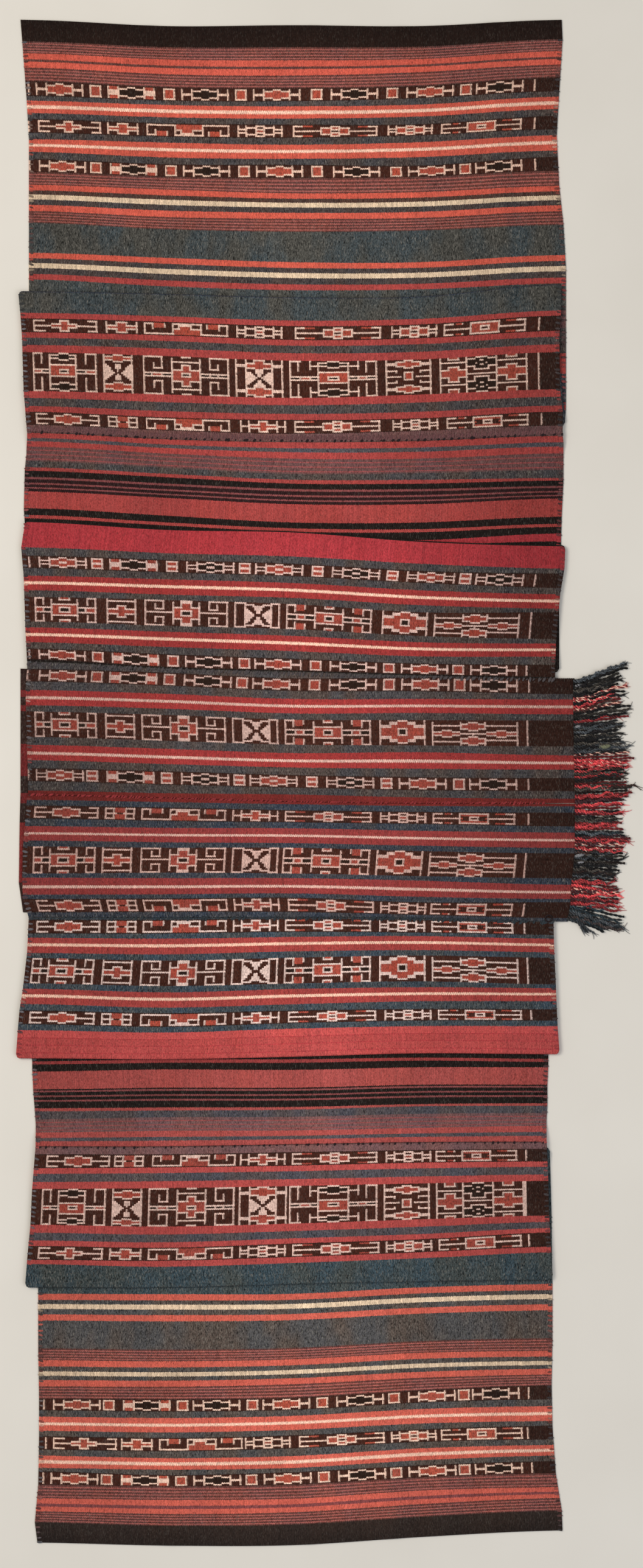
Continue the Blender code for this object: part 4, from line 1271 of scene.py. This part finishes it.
def stitch_tree():
    """Beads of thread at even steps along a path, each leaning across it and none quite alike."""
    tree, start = new_tree("laid stitches", Spacing=0.006, Length=0.007, Width=0.004, Height=0.0012,
                           Lean=1.4, Unevenness=0.15, Seed=1)
    value = start.outputs
    points = even_points(tree, value["Geometry"], value["Spacing"])
    rolls = []
    for number in range(3):
        roll = add(tree, "FunctionNodeRandomValue", {
            2: -1.0, 3: 1.0, "Seed": calc(tree, "ADD", value["Seed"], number * SEEDS_APART)})
        rolls.append(calc(tree, "MULTIPLY", roll.outputs[1], value["Unevenness"]))
    lean = add(tree, "ShaderNodeCombineXYZ", {"Z": calc(tree, "ADD", value["Lean"], rolls[0])})
    rotation = add(tree, "FunctionNodeEulerToRotation", {0: lean.outputs[0]})
    tangent = add(tree, "GeometryNodeInputTangent").outputs[0]
    along = add(tree, "FunctionNodeAlignRotationToVector", {"Vector": tangent}, axis="X", pivot_axis="Z")
    both = add(tree, "FunctionNodeRotateRotation", {0: along.outputs[0], 1: rotation.outputs[0]},
               rotation_space="LOCAL")
    size = add(tree, "ShaderNodeCombineXYZ", {"X": value["Length"], "Y": value["Width"],
                                              "Z": value["Height"]})
    scale = vector_calc(tree, "SCALE", size.outputs[0], calc(tree, "ADD", rolls[1], 1.0))
    offset = vector_calc(tree, "SCALE", tangent, calc(tree, "MULTIPLY", rolls[2], value["Spacing"]))
    moved = add(tree, "GeometryNodeSetPosition", {0: points, "Offset": offset})
    bead = add(tree, "GeometryNodeMeshIcoSphere", {"Radius": 0.5, "Subdivisions": 2})
    beads = add(tree, "GeometryNodeInstanceOnPoints", {
        "Points": moved.outputs[0], "Instance": bead.outputs[0], "Rotation": both.outputs[0],
        "Scale": scale})
    close_tree(tree, start, beads.outputs[0])
    return tree


STITCHES = stitch_tree()
print("tree:", STITCHES.name, len(STITCHES.nodes), "nodes")


# %% Twisted cords
PLY_APART = 0.9  # how far each ply lies from the cord's middle, in ply radii


def cord_tree():
    """Two plies twisted round each path, thinner towards the tip."""
    tree, start = new_tree("twisted cord", Ply=0.0011, Step=0.0013, Turn=0.0072, Taper=0.30, Sides=5)
    value = start.outputs
    upright = add(tree, "GeometryNodeSetCurveNormal", {
        0: even_points(tree, value["Geometry"], value["Step"])}, mode="Z_UP")
    run = add(tree, "GeometryNodeSplineParameter").outputs
    tilt = calc(tree, "MULTIPLY", calc(tree, "DIVIDE", run["Length"], value["Turn"]), 2 * math.pi)
    twisted = add(tree, "GeometryNodeSetCurveTilt", {0: upright.outputs[0], "Tilt": tilt})
    ring = add(tree, "GeometryNodeCurvePrimitiveCircle", {"Resolution": value["Sides"],
                                                          "Radius": value["Ply"]})
    plies = []
    for number, side in enumerate((-PLY_APART, PLY_APART)):
        place = add(tree, "ShaderNodeCombineXYZ", {"X": calc(tree, "MULTIPLY", value["Ply"], side)})
        moved = add(tree, "GeometryNodeTransform", {0: ring.outputs[0], "Translation": place.outputs[0]})
        named = add(tree, "GeometryNodeStoreNamedAttribute",
                    {0: moved.outputs[0], "Name": "ply", "Value": float(number)})
        plies.append(named.outputs[0])
    pair = add(tree, "GeometryNodeJoinGeometry", {0: plies[1]})
    tree.links.new(plies[0], pair.inputs[0])
    keep = calc(tree, "SUBTRACT", 1.0, calc(tree, "MULTIPLY", run["Factor"], value["Taper"]))
    cord = add(tree, "GeometryNodeCurveToMesh", {
        "Curve": twisted.outputs[0], "Profile Curve": pair.outputs[0], "Scale": keep, "Fill Caps": True})
    close_tree(tree, start, cord.outputs[0])
    return tree


CORDS = cord_tree()
print("tree:", CORDS.name, len(CORDS.nodes), "nodes")


# %% Paths, and what grows on them
def path_mesh(name, paths):
    """Paths as one mesh of edges. Each is a list of points and a list of a colour for each point."""
    points, edges, colours = [], [], []
    for line, dyes in paths:
        edges += [(len(points) + i, len(points) + i + 1) for i in range(len(line) - 1)]
        points += [tuple(map(float, point)) for point in line]
        colours += [tuple(map(float, dye)) for dye in dyes]
    mesh = bpy.data.meshes.new(name)
    mesh.from_pydata(points, edges, [])
    layer = mesh.attributes.new("dye", "FLOAT_COLOR", "POINT")
    layer.data.foreach_set("color", np.array(colours).ravel())
    return mesh


def grow(name, paths, tree, material, **values):
    """Run a tree on some paths, and keep what it makes as a plain mesh."""
    obj = bpy.data.objects.new(name, path_mesh(name + "_paths", paths))
    bpy.context.scene.collection.objects.link(obj)
    modifier = obj.modifiers.new(tree.name, "NODES")
    modifier.node_group = tree
    values["Material"] = material
    for socket in tree.interface.items_tree:
        if socket.in_out == "INPUT" and socket.name in values:
            modifier[socket.identifier] = values[socket.name]
    evaluated = obj.evaluated_get(bpy.context.evaluated_depsgraph_get())
    mesh = bpy.data.meshes.new_from_object(evaluated)
    obj.modifiers.remove(modifier)
    obj.data = mesh
    mesh.name = name
    print(f"{name}: {len(paths)} paths, {sum(len(face.vertices) - 2 for face in mesh.polygons)} triangles")
    return obj


# %% The thread's material
THREAD_GRAIN = 0.0012  # size of the uneven patches of spun thread
WHITE_PLY = "D8A898"  # the pale ply of the cords with one


def spun_thread(name, painted_ply_highlight):
    """Handspun cotton thread: matt, a little hairy, with fine grooves where it is twisted, and one ply with a
    painted highlight.
    """
    material, tree, shader, place = new_material(name, 0.9)
    dye = add(tree, "ShaderNodeAttribute", attribute_name="dye").outputs
    ply = add(tree, "ShaderNodeAttribute", attribute_name="ply").outputs["Fac"]
    fibre = add(tree, "ShaderNodeTexNoise", {"Vector": place, "Scale": 1 / THREAD_GRAIN,
                                             "Detail": 3.0}).outputs[0]
    # Painted highlight: the second ply is lighter by the given share.
    shade = calc(tree, "ADD", remap(tree, fibre, 0.3, 0.7, 0.50, 1.30),
                 calc(tree, "MULTIPLY", ply, painted_ply_highlight))
    dyed = mix(tree, calc(tree, "MULTIPLY", ply, dye["Alpha"]), dye["Color"], linear(WHITE_PLY))
    thread_surface(tree, shader, vector_calc(tree, "SCALE", dyed, shade), fibre, specular=0.25, sheen=0.05)
    return material


# The second number is the painted highlight on one ply: none on the sewing thread, 45 % on the cords.
SEWING_THREAD = spun_thread("handspun_sewing_thread", 0.0)
CORD_THREAD = spun_thread("twisted_cotton_cord", 0.45)
print("materials:", SEWING_THREAD.name, CORD_THREAD.name)

# %% [markdown]
# ## Side stitches
# Both sides of the cloth are bound with overcast stitches of thick thread, one every 6 mm. They stand
# proud of the edge. Each takes the dye of the stripe that it crosses, mostly darker, partly from dirt
# and partly as painted shade, and the thread's own grey shows where they cross the figured bands at
# the left.

# %% Side stitches
STITCH_PITCH = 0.0060
STITCH_LENGTH, STITCH_WIDTH, STITCH_HEIGHT = 0.0062, 0.0026, 0.0009
STITCH_INSET = 0.0028  # how far inside the edge a stitch's middle lies
STITCH_SINK = 0.0001  # how far under the face of the cloth the middle of a stitch lies
# Partly dirt and partly painted shade: most stitches are darker than the stripe they cross, as a thread lying
# in its own shadow.
STITCH_DIRT_AND_SHADE = (0.40, 1.05)  # how much darker or lighter than its dye each stitch is
TINT = linear("8A8C94")  # the thread's own grey
TINT_SHARES = {False: (0.06, 0.65), True: (0.06, 0.20)}  # how much of it shows at the left and the right
TINT_SPREAD = (0.5, 1)  # and how much of that share each stitch has
GROUND_FLECK, GROUND_LIGHT = 0.4, 0.1  # a rib below both is the ground of a figured band
EDGE_RIBS = 3  # ribs near the edge whose mean colour a stitch takes
OPEN = 999  # beyond either end of the cloth, in millimetres
stitch_rng = np.random.default_rng(6)


def edge_path(stations, right, low):
    """The path of the stitches along one side of a tier, down to a height in millimetres."""
    points, dyes = [], []
    for station in stations:
        if station.colours is None or station.heights[4 if right else 0] <= low:
            continue
        x = station.right * MM - STITCH_INSET if right else station.left * MM + STITCH_INSET
        y = float(across(station.heights, x))
        points.append((x, y, station.z + CLOTH / 2 - STITCH_SINK + float(ripple(x, y))))
        near = station.colours[-2 * EDGE_RIBS:] if right else station.colours[:2 * EDGE_RIBS]
        figured = near[0][3] < GROUND_FLECK and max(near[0][:3]) < GROUND_LIGHT
        share = stitch_rng.uniform(*TINT_SPREAD) * TINT_SHARES[right][bool(figured)]
        mixed = np.mean(near, axis=0) * (1 - share) + np.array(TINT) * share
        dyes.append(np.append(mixed[:3] * stitch_rng.uniform(*STITCH_DIRT_AND_SHADE), 0))
    return points, dyes


FOLD_GAP = 4  # millimetres from a fold to the first stitch below it


def whole_tier(tier, section, ribs, start=None):
    """A tier's mesh lines, from just inside its fold if it starts at one, to read its stitches from."""
    stations = tier_stations(tier, level(section), ribs, start)
    if start:
        inside = tuple(height - FOLD_GAP for height in start)
        stations.insert(0, flat_station(inside, level(section), stations[0].colours))
    return stations


EDGES = (  # the mesh lines of each tier, and how low its stitches go at the left and at the right
    (whole_tier(TOP_TIER, UPPER_END[:8], UPPER_END_RIBS), 586, 430),
    (whole_tier(SECOND_TIER, UPPER_END[10:], UPPER_END_RIBS, UPPER_END[10].heights), -OPEN, -OPEN),
    (whole_tier(THIRD_TIER, UPPER_INNER[:7], UPPER_INNER_RIBS), 314, 136),
    (whole_tier(FOURTH_TIER, UPPER_INNER[9:], UPPER_INNER_RIBS, UPPER_INNER[9].heights), -OPEN, -OPEN),
    (whole_tier(FIFTH_TIER, UPPER_FRINGED, FRINGED_RIBS), -OPEN, OPEN),
    (whole_tier(SIXTH_TIER, LOWER_FRINGED, FRINGED_RIBS), -OPEN, OPEN),
    (whole_tier(SEVENTH_TIER, LOWER_INNER[:6], LOWER_INNER_RIBS), -322, -317),
    (whole_tier(EIGHTH_TIER, LOWER_INNER[8:], LOWER_INNER_RIBS, LOWER_INNER[8].heights), -OPEN, -OPEN),
    (whole_tier(NINTH_TIER, LOWER_END[:6], LOWER_END_RIBS), -592, -584),
    (whole_tier(BOTTOM_TIER, LOWER_END[8:], LOWER_END_RIBS, LOWER_END[8].heights), -OPEN, -OPEN),
)
side_paths = []
for stations, left_low, right_low in EDGES:
    for right, low in ((False, left_low), (True, right_low)):
        path = edge_path(stations, right, low)
        if len(path[0]) > 1:
            side_paths.append(path)
side_stitches = grow("side_stitches", side_paths, STITCHES, SEWING_THREAD, Spacing=STITCH_PITCH,
                     Length=STITCH_LENGTH, Width=STITCH_WIDTH, Height=STITCH_HEIGHT, Lean=1.45,
                     Unevenness=0.22, Seed=3)

# %% [markdown]
# ## Seam stitches
# The six panels are joined edge to edge by hand. Each seam has its own sewer: one drew a dark thread
# up through the edge in slanted stitches, others caught both edges in small grey or red knots.

# %% Seam stitches
SEAM_POINTS = 80  # points of a seam's path
SEAM_SEED, KNOT_SEED = 10, 40  # first seeds of the seams and of the fringe's knots
# A seam follows a line across the cloth. Its offset, spacing, sizes and ends are in millimetres.
Seam = namedtuple("Seam", "heights offset layer dye spacing length width height lean uneven ends")
SEAMS = {
    "dark_seam_stitches": Seam(UPPER_INNER[0].heights, 0.9, 3, "stitch dark", 7.6, 3.6, 2.3, 1.2,
                               0.8, 0.40, (-352, 276)),
    "plum_seam_stitches": Seam(UPPER_INNER[0].heights, 4.2, 3, "stitch plum", 3.4, 6.4, 2.5, 0.9,
                               1.25, 0.25, (-352, 276)),
    "grey_seam_stitches": Seam(UPPER_FRINGED[0].heights, -1.7, 3, "stitch grey", 4.6, 5.2, 2.4, 1.0,
                               1.0, 0.45, (-352, 268)),
    "red_seam_stitches": Seam((-14, -18, -22, -23.5, -24), 0.3, 2, "stitch red", 3.7, 5.0, 2.0, 1.2,
                              0.75, 0.45, (-351, 258)),
    "blue_seam_stitches": Seam(LOWER_INNER[0].heights, -0.9, 3, "stitch blue", 4.6, 5.4, 2.2, 1.1,
                               0.8, 0.50, (-350, 266)),
    "dotted_seam_stitches": Seam(LOWER_END[0].heights, -1.0, 3, "stitch dark", 9.1, 3.0, 2.2, 1.2,
                                 0.9, 0.40, (-342, 258)),
}
seam_pieces = []
for number, (name, seam) in enumerate(SEAMS.items()):
    x = np.linspace(seam.ends[0] * MM, seam.ends[1] * MM, SEAM_POINTS)
    y = across(seam.heights, x) + seam.offset * MM
    z = np.full_like(x, layer_z(seam.layer) + CLOTH / 2 - STITCH_SINK) + ripple(x, y)
    line = list(zip(x, y, z))
    seam_pieces.append(grow(name, [(line, [PALETTE[seam.dye]] * len(line))], STITCHES, SEWING_THREAD,
                            Spacing=seam.spacing * MM, Length=seam.length * MM, Width=seam.width * MM,
                            Height=seam.height * MM, Lean=seam.lean, Unevenness=seam.uneven,
                            Seed=number + SEAM_SEED))

# %% [markdown]
# ## The fringe
# The two middle panels end in the threads that were left uncut on the loom, twisted in pairs into
# cords 3 mm thick. They keep the colours of the stripes that they come from, and a few have one white
# ply. Close cords lie on the floor, darkened with painted shade, and two looser layers lie across
# them, painted lighter the higher they lie. The cords of the upper layers have come undone at their tips.

# %% Where the cords lead
Tip = namedtuple("Tip", "root reach rise")  # height of a cord's root, x of its tip, and how it leans

UPPER_TIPS = (
    Tip(121, 359, 19), Tip(114, 351, 17), Tip(105, 352, 15), Tip(97, 359, 13), Tip(88, 355, 11),
    Tip(80, 362, 8), Tip(69, 355, 6), Tip(55, 351, 4), Tip(41, 355, 3), Tip(28, 366, 2),
    Tip(18, 355, 2), Tip(5, 355, 3), Tip(-7, 363, 3), Tip(-14, 368, 3), Tip(-22, 356, 2),
)
LOWER_TIPS = (
    Tip(-26, 353, 1), Tip(-35, 352, 0), Tip(-43, 347, 0), Tip(-51, 349, 0), Tip(-66, 362, 0),
    Tip(-75, 353, 0), Tip(-83, 350, -1), Tip(-93, 355, -1), Tip(-102, 345, -3), Tip(-111, 342, -4),
    Tip(-128, 350, -5), Tip(-138, 347, -7), Tip(-147, 353, -10), Tip(-153, 352, -12),
    Tip(-158, 353, -12), Tip(-162, 351, -10), Tip(-166, 343, -14), Tip(-169, 329, -22),
    Tip(-172, 314, -50),
)
FRINGE_DYES = (  # below each height along the edge, in millimetres, the dyes of the cords there
    (130, ("slate", "soot", "ash", "soot")), (101, ("candy", "scarlet")), (97, ("slate", "soot")),
    (92, ("candy", "scarlet")), (86, ("ash", "soot", "umber", "soot")), (75, ("scarlet",)),
    (71, ("slate", "soot", "ash", "soot", "slate")), (34, ("scarlet", "candy", "scarlet", "scarlet")),
    (17, ("ash", "scarlet", "umber", "soot")), (0, ("scarlet",)), (-5, ("umber", "ash")),
    (-12, ("scarlet", "scarlet", "plum")), (-38, ("soot", "ash")), (-45, ("scarlet",)),
    (-55, ("teal", "slate")), (-62, ("scarlet", "plum", "scarlet")), (-72, ("scarlet", "candy")),
    (-79, ("slate", "soot", "ash", "soot", "umber")), (-116, ("scarlet",)), (-122, ("candy", "scarlet")),
    (-128, ("plum", "scarlet")), (-139, ("scarlet",)), (-146, ("navy", "teal", "slate")),
)


def cord_dye(root, number):
    """The colour of the cord that grows at this height."""
    dyes = [words for height, words in FRINGE_DYES if root / MM < height][-1]
    word = dyes[number % len(dyes)]
    return np.array([*PALETTE[word][:3], word == "candy"])


def woven_edge(rows, y):
    """X of a fringed panel's woven edge at this height."""
    return float(np.interp(-y / MM, [-row.heights[4] for row in rows], [row.right for row in rows])) * MM


def cord_tip(tips, root):
    """Reach and rise of the cord that grows at this root."""
    at = [-tip.root for tip in tips]
    return (float(np.interp(-root / MM, at, [tip.reach for tip in tips])) * MM,
            float(np.interp(-root / MM, at, [tip.rise for tip in tips])) * MM)


# %% The cords
Storey = namedtuple("Storey", "count height shorter drift wave shade")
# The last number of each storey is painted light: the cords on the floor are darkest, as in the shade of the
# others, and the top layer is lightest.
STOREYS = (  # cords below, shaded and close together, then two loose layers across them
    Storey(42, 0.0019, (0.86, 1.00), 0.0, 0.0006, (0.12, 0.30)),
    Storey(27, 0.0027, (0.76, 1.00), 0.0032, 0.0018, (0.45, 1.00)),
    Storey(24, 0.0036, (0.62, 1.03), 0.0060, 0.0024, (0.70, 1.40)),
)
CORD_POINTS = 26
CORD_SPAN = 0.066  # length along which a cord sways, leans and drifts
CORD_ROOT = 0.0015  # how far inside the woven edge a cord starts
CORD_FLOOR = 0.0021  # height of a cord's middle where it lies on the surface
LOWEST_ROOT = -0.161  # height of the corner that the lowest cords share, as a bundle
CORD_JITTER = 0.3  # how far a loose cord's root is from its even place, in shares of a step
CORD_SWAY, SWAY_TURN = 0.0009, 6.9  # sideways waves of a cord
CORD_UNEVEN, UNEVEN_STEP = 0.0025, 2.4  # how its length differs from its neighbours'
WAVE_TURNS, WAVE_SHARES = (16, 30), (0.4, 1.0)  # finer waves: radians along the span, and their size
DRIFT_PACE, WAVE_PACE, CLIMB_PACE = 1.4, 5, 6  # how soon a cord drifts, waves and climbs
FALL_PACE, FALL_DELAY = 2.5, 1.5  # how it comes down to the surface again
PALE_WAVES, PALE_TIP = 0.25, 0.2  # how much paler it is in patches, and at its tip


def cord_paths(rows, tips, storey, rng):
    """The paths of one layer of cords."""
    top, bottom = tips[0].root * MM, tips[-1].root * MM
    pitch = (top - bottom) / (storey.count - 1)
    jitter = CORD_JITTER * bool(storey.drift)
    return [one_cord(rows, tips, top - (number + rng.uniform(-jitter, jitter)) * pitch, number, storey, rng)
            for number in range(storey.count)]


def one_cord(rows, tips, root, number, storey, rng):
    """One cord's path, which climbs out of the cloth's edge, wanders, and comes down to the surface."""
    root = min(root, tips[0].root * MM)
    reach, rise = cord_tip(tips, root)
    root = max(root, LOWEST_ROOT)
    start = woven_edge(rows, root) - CORD_ROOT
    reach = start + (reach - start) * rng.uniform(*storey.shorter) + CORD_UNEVEN * math.sin(
        UNEVEN_STEP * number)
    drift, turn = rng.uniform(-storey.drift, storey.drift), rng.uniform(*WAVE_TURNS)
    phase, wave = rng.uniform(0, 2 * math.pi), rng.uniform(*WAVE_SHARES) * storey.wave
    t = np.linspace(0, 1, CORD_POINTS)
    x = start + (reach - start) * t
    span = (x - start) / CORD_SPAN
    y = (root + rise * ease(span) + CORD_SWAY * np.sin(SWAY_TURN * span + number / 2) * span
         + drift * ease(span * DRIFT_PACE) + wave * np.sin(turn * span + phase) * ease(WAVE_PACE * span))
    z = CORD_FLOOR + (storey.height - CORD_FLOOR) * ease(CLIMB_PACE * t) * (
        1 - ease(FALL_PACE * t - FALL_DELAY))
    # Painted light: the storey sets how light a cord is, at random within its range, times paler patches and
    # a paler tip.
    shade = rng.uniform(*storey.shade) * (1 + PALE_WAVES * np.sin(turn / 2 * span + phase) + PALE_TIP * t)
    dye = cord_dye(root, number)
    return list(zip(x, y, z)), [np.append(dye[:3] * light, dye[3]) for light in shade]


# %% Loose ends
WISPS = 5  # loose threads at the tip of each cord
WISP_STEPS, WISP_AIM = 4, 4  # steps of its path, and points of the cord that its heading is read from
WISP_TURN, WISP_BEND = 0.6, 0.7  # radians that a thread turns off its cord, and bends along its length
WISP_LENGTHS, WISP_BACKS = (0.004, 0.012), (0.001, 0.006)  # its length, and how far back it starts
WISP_FALL, WISP_FLOOR = 0.75, 0.0006  # how it sinks to the surface
WISP_SHADE = 1.25  # how much paler it is than its cord


def loose_ends(line, dyes, rng):
    """The thin threads that a cord's tip has come apart into."""
    (x0, y0, _), (x1, y1, z1) = line[-WISP_AIM], line[-1]
    heading = math.atan2(y1 - y0, x1 - x0)
    wisps = []
    for _ in range(WISPS):
        turn = heading + rng.uniform(-WISP_TURN, WISP_TURN)
        length, bend = rng.uniform(*WISP_LENGTHS), rng.uniform(-WISP_BEND, WISP_BEND)
        back = rng.uniform(*WISP_BACKS)
        points = [(x1 - back * math.cos(heading), y1 - back * math.sin(heading), z1)]
        for _ in range(WISP_STEPS):
            x, y, z = points[-1]
            points.append((x + length / WISP_STEPS * math.cos(turn),
                           y + length / WISP_STEPS * math.sin(turn), max(z * WISP_FALL, WISP_FLOOR)))
            turn += bend / WISP_STEPS
        wisps.append((points, [dyes[-1] * WISP_SHADE] * len(points)))
    return wisps


rng = np.random.default_rng(21)
fringes = {}
for name, rows, tips in (("upper", UPPER_FRINGED, UPPER_TIPS), ("lower", LOWER_FRINGED, LOWER_TIPS)):
    layers = [cord_paths(rows, tips, storey, rng) for storey in STOREYS]
    wisps = [wisp for layer in layers[1:] for cord in layer for wisp in loose_ends(*cord, rng)]
    fringes[name] = grow(name + "_fringe_cords", layers[1] + layers[2], CORDS, CORD_THREAD)
    fringes[name + " below"] = grow(name + "_fringe_cords_below", layers[0], CORDS, CORD_THREAD,
                                    Ply=0.0012, Step=0.0024, Turn=0.0110, Sides=4)
    fringes[name + " ends"] = grow(name + "_fringe_ends", wisps, CORDS, CORD_THREAD, Ply=0.0003,
                                   Step=0.0025, Turn=1.0, Taper=0.6, Sides=3)

# %% Knots in the fringe
KNOTS = (  # middle, length, width and dye of the thick knots at the roots of the cords
    (297, 115.5, 8, 3.4, "knot grey"), (298, 67, 8, 3.6, "knot grey"), (299, -85.5, 12, 4.2, "knot grey"),
    (300, -94, 9, 3.2, "knot grey"), (329, 43, 14, 6, "knot olive"),
)
KNOT_MIDDLE, KNOT_HEIGHT = 0.0032, 0.0028  # how high a knot's middle is, and how thick it is
knot_pieces = []
for number, (x, y, length, width, dye) in enumerate(KNOTS):
    line = [((x - 0.5) * MM, y * MM, KNOT_MIDDLE), ((x + 0.5) * MM, (y + 0.1) * MM, KNOT_MIDDLE)]
    knot_pieces.append(grow(f"fringe_knot_{number + 1}", [(line, [PALETTE[dye]] * 2)], STITCHES,
                            SEWING_THREAD, Spacing=0.002, Length=length * MM, Width=width * MM,
                            Height=KNOT_HEIGHT, Lean=0.15, Unevenness=0.1, Seed=number + KNOT_SEED))

# The loop of dark thread that ends a seam
RING_MIDDLE, RING_RADIUS, RING_PLY, RING_POINTS = (0.2624, -0.1602), 0.0040, 0.0006, 25
ring = [(RING_MIDDLE[0] + RING_RADIUS * math.cos(turn), RING_MIDDLE[1] + RING_RADIUS * math.sin(turn),
         float(layer_z(3)) + CLOTH / 2 + RING_PLY) for turn in np.linspace(0, 2 * math.pi, RING_POINTS)]
knot_pieces.append(grow("seam_loop", [(ring, [PALETTE["stitch dark"]] * len(ring))], CORDS, CORD_THREAD,
                        Ply=RING_PLY, Step=0.0010, Turn=0.0050, Taper=0.0, Sides=5))

def declare(name, node, slot, flat, held, **options):
    """Hide the solid that a piece of cloth replaces, and attach the piece to the root. What it is made of and
    how large it was when flat are not used.
    """
    piece = PANELS[name]
    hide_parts(node)
    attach(piece, "root")


declare("upper_end_cloth", "upper_end_panel", "red_and_brown_ikat", (0.64, 0.80), "folded")
declare("upper_inner_cloth", "upper_inner_panel", "crimson_and_black_ikat", (0.64, 0.58), "folded")
for name, depth in (("upper", 0.15), ("lower", 0.14)):
    declare(name + "_fringed_cloth", name + "_fringed_panel", "blue_grey_ikat", (0.65, depth), "laid",
            with_pieces=[piece for label, piece in fringes.items() if label.startswith(name)])
declare("lower_inner_cloth", "lower_inner_panel", "crimson_and_black_ikat", (0.63, 0.57), "folded")
declare("lower_end_cloth", "lower_end_panel", "red_and_brown_ikat", (0.61, 0.79), "folded")

declare("under_cloth", "under_panel", "brown_under_cloth", (0.60, 0.28), "laid")
for piece in [side_stitches, *seam_pieces, *knot_pieces, *fringes.values()]:
    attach(piece, "root")
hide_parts("upper_fringe")
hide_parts("lower_fringe")

low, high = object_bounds()
print("size", [round(high[i] - low[i], 4) for i in range(3)])
